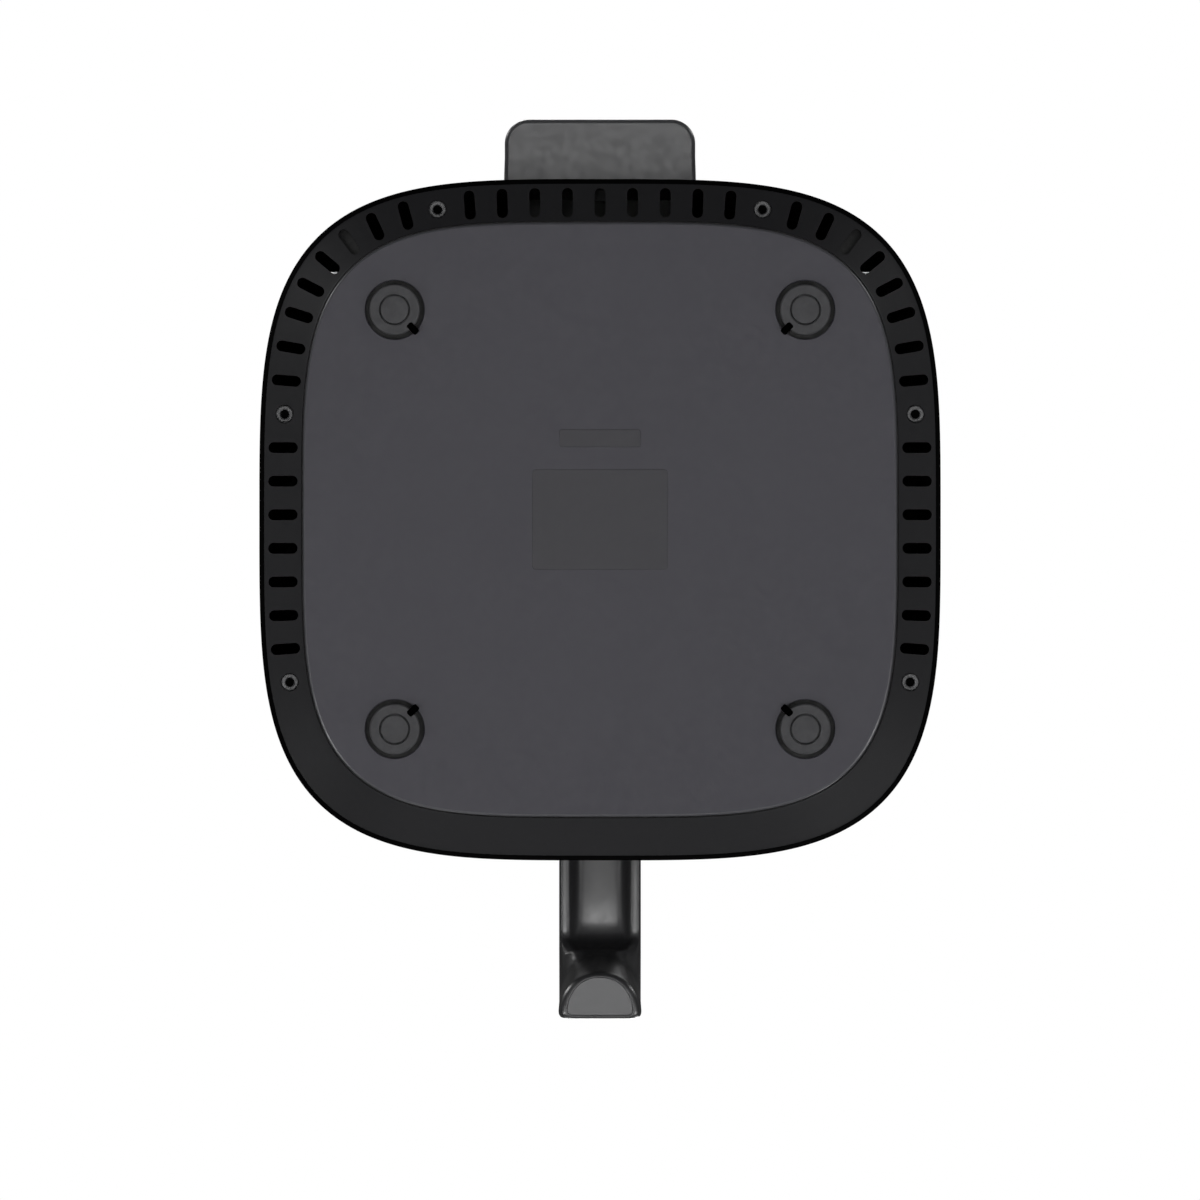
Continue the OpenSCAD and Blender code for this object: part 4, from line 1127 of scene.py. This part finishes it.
def handle_ring(outside, inside, rim, arm, reach):
    """One closed section between outside and inside points of the middle plane.

    The rims follow a tighter bend than the channel between them, which is deepest at the housing.
    """
    total = len(ARM_SECTION)
    shares = []
    for k, (arm_x, arm_d) in enumerate(ARM_SECTION):
        grip_x, grip_d = grip_share(k, total)
        if k > CREST:
            arm_d = 1 - (1 - arm_d) * (1.4 - 0.4 * reach)
        shares.append((grip_x + (arm_x - grip_x) * arm, grip_d + (arm_d - grip_d) * arm, arm_x))
    deepest = max(depth for across, depth, arm_x in shares)
    half = []
    for across, depth, arm_x in shares:
        on_rim = smooth((arm_x - 0.5) / 0.25) * arm
        half.append((across * HANDLE_HALF, outside.lerp(inside.lerp(rim, on_rim), depth / deepest)))
    whole = half + [(-x, p) for x, p in reversed(half[1:-1])]
    return [(x, p.x, p.y) for x, p in whole]


# ---------- drawer: pan, crisper plate, lift loop ----------

PAN_LOW, PAN_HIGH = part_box("frying_pan")
PAN_Y = (PAN_LOW.y + PAN_HIGH.y) / 2 / MM - AXIS_Y
PAN_HALF = (PAN_HIGH.y - PAN_LOW.y) / 2 / MM
PAN_Z0 = PAN_LOW.z / MM
PAN_CORNER, PAN_WALL, PAN_FILLET = 22.0, 1.5, 9.0


def pan_ring(inset, z, deep_inset=None):
    """The pan's outline, moved in or out; its depth can have an inset of its own."""
    deep = inset if deep_inset is None else deep_inset
    width, depth = 2 * (PAN_HALF - inset), 2 * (PAN_HALF - deep)
    return at_height(rect_ring(width, depth, PAN_CORNER - inset * 0.9, 14, (0, PAN_Y), 6), z)


def make_pan():
    """A drawn pan: pressed foot ring, round bottom edge, rolled rim."""
    under = [(34, 1.6), (30.5, 1.6), (29.5, 0.9), (28.5, 0.9), (27.5, 1.6), (22, 1.6), (20.5, 1.4)]
    under += [(19, 0.1), (18, 0.0), (PAN_FILLET, 0.0)]
    turn = [(PAN_FILLET - x, PAN_FILLET - z) for x, z in arc_rows(PAN_FILLET, 90, 0, 8)]
    wall = [(0, h) for h in (20, 40, 60, 80, 100, 106.4)]
    rim = [(-0.2, 106.9), (-0.75, 107.4), (-1.9, 107.7), (-2.4, 108.3), (-2.45, 109.2), (-1.9, 109.8)]
    rim += [(-0.8, 110.0), (0.6, 109.7), (1.4, 108.8)]
    inside = [(PAN_WALL, h) for h in (107, 90, 70, 50, 30, 14)]
    bottom = [(PAN_FILLET + 1.5 - x, PAN_FILLET + 1.5 - z) for x, z in arc_rows(PAN_FILLET, 0, 90, 8)]
    floor = [(20, PAN_WALL), (24, 1.9), (34, 1.9)]
    rings = [pan_ring(inset, PAN_Z0 + h) for inset, h in under + turn + wall]
    # The rolled rim stands out at the sides only: the bracket is in front of it, the chamber behind.
    rings += [pan_ring(inset, PAN_Z0 + h, max(inset, 0)) for inset, h in rim]
    rings += [pan_ring(inset, PAN_Z0 + h) for inset, h in inside + bottom + floor]
    make("drawn_pan", *skin(rings), pan_coating, "drawer", "pan_coating", ("frying_pan",))


PLATE_LOW, PLATE_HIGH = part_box("crisper_plate")
CRISP_HALF = (PLATE_HIGH.x - PLATE_LOW.x) / 2 / MM
CRISP_Z = PLATE_LOW.z / MM
BUMPER_PLACE = 66.5                     # the silicone feet, from the plate's middle along each axis
CRISP_RINGS = ((24, 8), (38, 14), (52, 20), (66, 24), (79, 24))     # (radius, number of slots)


def make_crisper():
    """A pressed plate with a turned-up rim and a pinwheel of slots."""
    outside = [(3.2, 0.0), (2.0, 0.15), (1.0, 0.6), (0.3, 1.4), (0.0, 2.6), (0.0, 5.3), (0.25, 5.85)]
    inside = [(0.8, 6.0), (1.35, 5.85), (1.6, 5.3), (1.6, 3.2), (2.0, 2.3), (2.9, 1.7), (4.0, 1.6)]
    rings = []
    for inset, h in outside + inside:
        size = 2 * (CRISP_HALF - inset)
        rings.append(at_height(rect_ring(size, size, 18 - inset * 0.9, 12, (0, PAN_Y)), CRISP_Z + h))
    plate = make("crisper_tray", *skin(rings), pan_coating, "crisper", "pan_coating", ("crisper_plate",))
    slots = []
    for ring_index, (radius, count) in enumerate(CRISP_RINGS):
        for k in range(count):
            a = TAU * (k + 0.5 * (ring_index % 2)) / count
            x, y = radius * math.cos(a), radius * math.sin(a)
            at_edge = max(abs(x), abs(y)) > CRISP_HALF - 11
            at_bumper = abs(abs(x) - BUMPER_PLACE) < 9 and abs(abs(y) - BUMPER_PLACE) < 9
            if at_edge or at_bumper:
                continue
            turn = Matrix.Translation((x, PAN_Y + y, 0)) @ Matrix.Rotation(a + 0.6, 4, "Z")
            slots.append(slot_part(9.5, 4.2, CRISP_Z - 2, CRISP_Z + 4, lambda p, turn=turn: turn @ p))
    cut(plate, join(*slots), 35)


def make_bumpers():
    """Four silicone feet that hold the plate above the pan's floor."""
    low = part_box("plate_bumpers")[0].z / MM
    side = rounded([(0, low), (6, low), (6, CRISP_Z - 0.05), (0, CRISP_Z - 0.05)], 1.0)
    places = [(x * BUMPER_PLACE, PAN_Y + y * BUMPER_PLACE) for x in (-1, 1) for y in (-1, 1)]
    parts = [lathe(side, spot, 48) for spot in places]
    make("silicone_feet", *join(*parts), silicone, "crisper", "seal_silicone", ("plate_bumpers",))


def make_lift_loop():
    """A strap bent into a low bridge on a round base."""
    base_z = CRISP_Z + 1.6
    path = [(-9.4, 0.3), (-9.4, 4.4)] + [(-7.1 + x, 4.4 + z) for x, z in arc_rows(2.3, 180, 90, 8)]
    path += [(-x, z) for x, z in reversed(path)]
    rings = []
    for i, (x, z) in enumerate(path):
        before, after = Vector(path[max(i - 1, 0)]), Vector(path[min(i + 1, len(path) - 1)])
        run = (after - before).normalized()
        across = Vector((-run.y, run.x))
        ring = rect_ring(6.0, 1.5, 0.7, 5)
        rings.append([(x + across.x * h, PAN_Y + w, base_z + z + across.y * h) for w, h in ring])
    edge = rounded([(0, base_z), (9, base_z), (9, base_z + 1.1), (0, base_z + 1.1)], 0.5)
    disc = lathe(edge, (0, PAN_Y), 64)
    make("lift_strap", *join(skin(rings), disc), loop_steel, "crisper", "guard_wire", ("plate_lift_ring",))


# ---------- parts that keep their CAD shape ----------

# chamber_posts take the near-black painted shade; the exhaust duct takes the dark device plastic so that the
# slots in front of it look black, partly its own colour and partly painted shade.
CAD_LOOKS = {
    "chamber_posts": blackened, "front_frame": frame_plastic, "exhaust_duct": device_plastic,
    "cooking_chamber": chamber_steel, "chamber_seal": silicone, "drawer_rail_left": zinc_steel,
    "drawer_rail_right": zinc_steel, "drawer_switch": device_plastic, "heat_reflector": reflector_metal,
    "heating_element": heater_metal, "heater_insulators": white_ceramic, "element_guard": wire_chrome,
    "temperature_sensor": wire_chrome, "thermal_cutoff": white_ceramic, "motor_bracket": zinc_steel,
    "motor_housing": zinc_steel, "shaft_bushes": bronze, "power_board": board_green, "relay": device_plastic,
    "filter_capacitor": yellow_case, "transformer": rotor_metal, "terminal_block": green_case,
    "wiring": wire_sheath, "control_board": board_green, "display_module": device_plastic,
    "encoder_body": zinc_steel, "motor_rotor": rotor_metal, "motor_shaft": zinc_steel,
    "cooling_fan": device_plastic, "hot_air_fan": fan_metal, "fan_nut": bronze,
    "drawer_inner_panel": frame_plastic, "pan_bracket": zinc_steel, "handle_screws": screw_metal,
    "dial_plunger": device_plastic, "dial_shaft": zinc_steel,
}


def dress_cad_nodes():
    """Materials, smooth shading, welded seams and creases on the nodes that keep their CAD shape."""
    for name, material in CAD_LOOKS.items():
        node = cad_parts[name]
        node.data.materials.clear()
        node.data.materials.append(material)
        smooth_faces(node.data)
        weld = node.modifiers.new("weld", "WELD")
        weld.merge_threshold = 0.002 * MM
        split = node.modifiers.new("creases", "EDGE_SPLIT")
        split.split_angle = math.radians(30)


# ---------- studio ----------

VIEW_WIDTH = 0.4431                     # metres across the picture at the base plate
CAMERA_DISTANCE = 5.0
CAMERA_Y = -0.0119
SENSOR = 36.0
FLOOR_REACH = 60.0


def make_floor():
    """A pale floor that shows only from above, so that the camera underneath sees past it."""
    mesh = bpy.data.meshes.new("floor")
    corners = [(FLOOR_REACH * x, FLOOR_REACH * y, 0) for x, y in ((-1, -1), (1, -1), (1, 1), (-1, 1))]
    mesh.from_pydata(corners, [], [(0, 1, 2, 3)])
    floor = add_object("floor", mesh)
    material = bpy.data.materials.new("pale_floor")
    material.use_nodes = True
    tree = material.node_tree
    shader = tree.nodes["Principled BSDF"]
    shader.inputs["Base Color"].default_value = (0.62, 0.62, 0.62, 1)
    shader.inputs["Roughness"].default_value = 0.9
    shader.inputs["Emission Color"].default_value = (1, 1, 1, 1)
    where = add_node(tree, "TexCoord")
    away = add_node(tree, "VectorMath", operation="LENGTH")
    limits = {"From Min": 0.6, "From Max": 3.5, "To Min": 0.42, "To Max": 1.0}
    glow = add_node(tree, "MapRange", **limits)
    clear = add_node(tree, "BsdfTransparent")
    mix = add_node(tree, "MixShader")
    side = add_node(tree, "NewGeometry")
    wire(
        tree,
        (where.outputs["Object"], away.inputs[0]),
        (away.outputs["Value"], glow.inputs["Value"]),
        (glow.outputs["Result"], shader.inputs["Emission Strength"]),
        (side.outputs["Backfacing"], mix.inputs[0]),
        (shader.outputs[0], mix.inputs[1]),
        (clear.outputs[0], mix.inputs[2]),
        (mix.outputs[0], tree.nodes["Material Output"].inputs["Surface"]),
    )
    mesh.materials.append(material)
    floor.visible_diffuse = floor.visible_glossy = floor.visible_transmission = False
    floor.visible_shadow = False


def make_world():
    """White behind the object; for lighting, dim below and at the sides and brighter overhead."""
    world = bpy.data.worlds.new("studio")
    bpy.context.scene.world = world
    world.use_nodes = True
    tree = world.node_tree
    shown = tree.nodes["Background"]
    shown.inputs["Color"].default_value = (1, 1, 1, 1)
    lit = add_node(tree, "Background")
    path = add_node(tree, "LightPath")
    mix = add_node(tree, "MixShader")
    where = add_node(tree, "TexCoord")
    split = add_node(tree, "SeparateXYZ")
    ramp = add_node(tree, "ValToRGB")
    to_share = add_node(tree, "MapRange", **{"From Min": -1})
    stops = ramp.color_ramp.elements
    stops[0].position, stops[0].color = 0.0, (0.42, 0.42, 0.43, 1)
    stops[1].position, stops[1].color = 1.0, (0.03, 0.03, 0.03, 1)
    for position, value in ((0.3, 0.1), (0.5, 0.05), (0.62, 0.16), (0.8, 0.12), (0.92, 0.03)):
        stop = stops.new(position)
        stop.color = (value, value, value, 1)
    wire(
        tree,
        (where.outputs["Generated"], split.inputs[0]),
        (split.outputs["Z"], to_share.inputs["Value"]),
        (to_share.outputs["Result"], ramp.inputs["Fac"]),
        (ramp.outputs["Color"], lit.inputs["Color"]),
        (path.outputs["Is Camera Ray"], mix.inputs[0]),
        (lit.outputs[0], mix.inputs[1]),
        (shown.outputs[0], mix.inputs[2]),
        (mix.outputs[0], tree.nodes["World Output"].inputs["Surface"]),
    )


def make_light(name, spot, aim, width, height, watts):
    """A soft rectangle of light that the camera doesn't see."""
    data = bpy.data.lights.new(name, "AREA")
    data.shape, data.size, data.size_y, data.energy = "RECTANGLE", width, height, watts
    light = add_object(name, data)
    light.location = spot
    light.rotation_mode = "QUATERNION"
    light.rotation_quaternion = (Vector(aim) - Vector(spot)).to_track_quat("-Z", "Y")
    light.visible_camera = False


def make_lights():
    """Lights under the object for the main view, and round it for the views from above."""
    base, middle = (0, 0, 0), (0, 0, 0.15)
    make_light("axis", (0.0, 0.06, -2.4), base, 0.7, 0.7, 12.5)
    make_light("under_left", (1.45, -0.75, -1.7), base, 0.2, 1.4, 18.5)
    make_light("under_right", (-1.45, -0.75, -1.7), base, 0.2, 1.4, 18.5)
    make_light("under_front", (0.0, -1.7, -1.6), base, 1.4, 0.2, 5.5)
    make_light("high_front", (-0.3, -1.5, 2.2), middle, 1.2, 1.2, 55)
    make_light("high_back", (0.55, 1.45, 2.2), middle, 1.0, 1.0, 34)
    make_light("strip_left", (-1.2, -1.9, 0.85), middle, 0.35, 1.5, 20)
    make_light("low_front", (0.7, -2.5, 0.6), middle, 0.6, 0.8, 8)
    make_light("strip_right", (1.9, 1.15, 0.75), middle, 0.35, 1.9, 22)
    make_light("strip_back", (-1.9, 1.3, 0.8), middle, 0.35, 1.8, 18)


def make_camera():
    """Straight below the object, looking up, with the rear of the object at the top."""
    data = bpy.data.cameras.new("camera")
    data.sensor_width = SENSOR
    data.lens = SENSOR * CAMERA_DISTANCE / VIEW_WIDTH
    data.clip_start, data.clip_end = 0.1, 60
    camera = add_object("camera", data)
    camera.location = (0, CAMERA_Y, 0.01 - CAMERA_DISTANCE)
    camera.rotation_euler = Matrix(((-1, 0, 0), (0, 1, 0), (0, 0, -1))).to_euler()
    bpy.context.scene.camera = camera


bpy.context.scene.view_settings.view_transform = "Standard"
bpy.context.scene.view_settings.look = "None"
make_camera()
make_floor()
make_world()
make_lights()

make_base_ring()
make_base_screws()
make_base_plate()
make_feet()
make_label()
make_shells()
make_top_cover()
make_glass()
make_prints()
make_dial()
make_hood()
make_grommet()
make_drawer_front()
make_handle()
make_pan()
make_crisper()
make_bumpers()
make_lift_loop()
dress_cad_nodes()
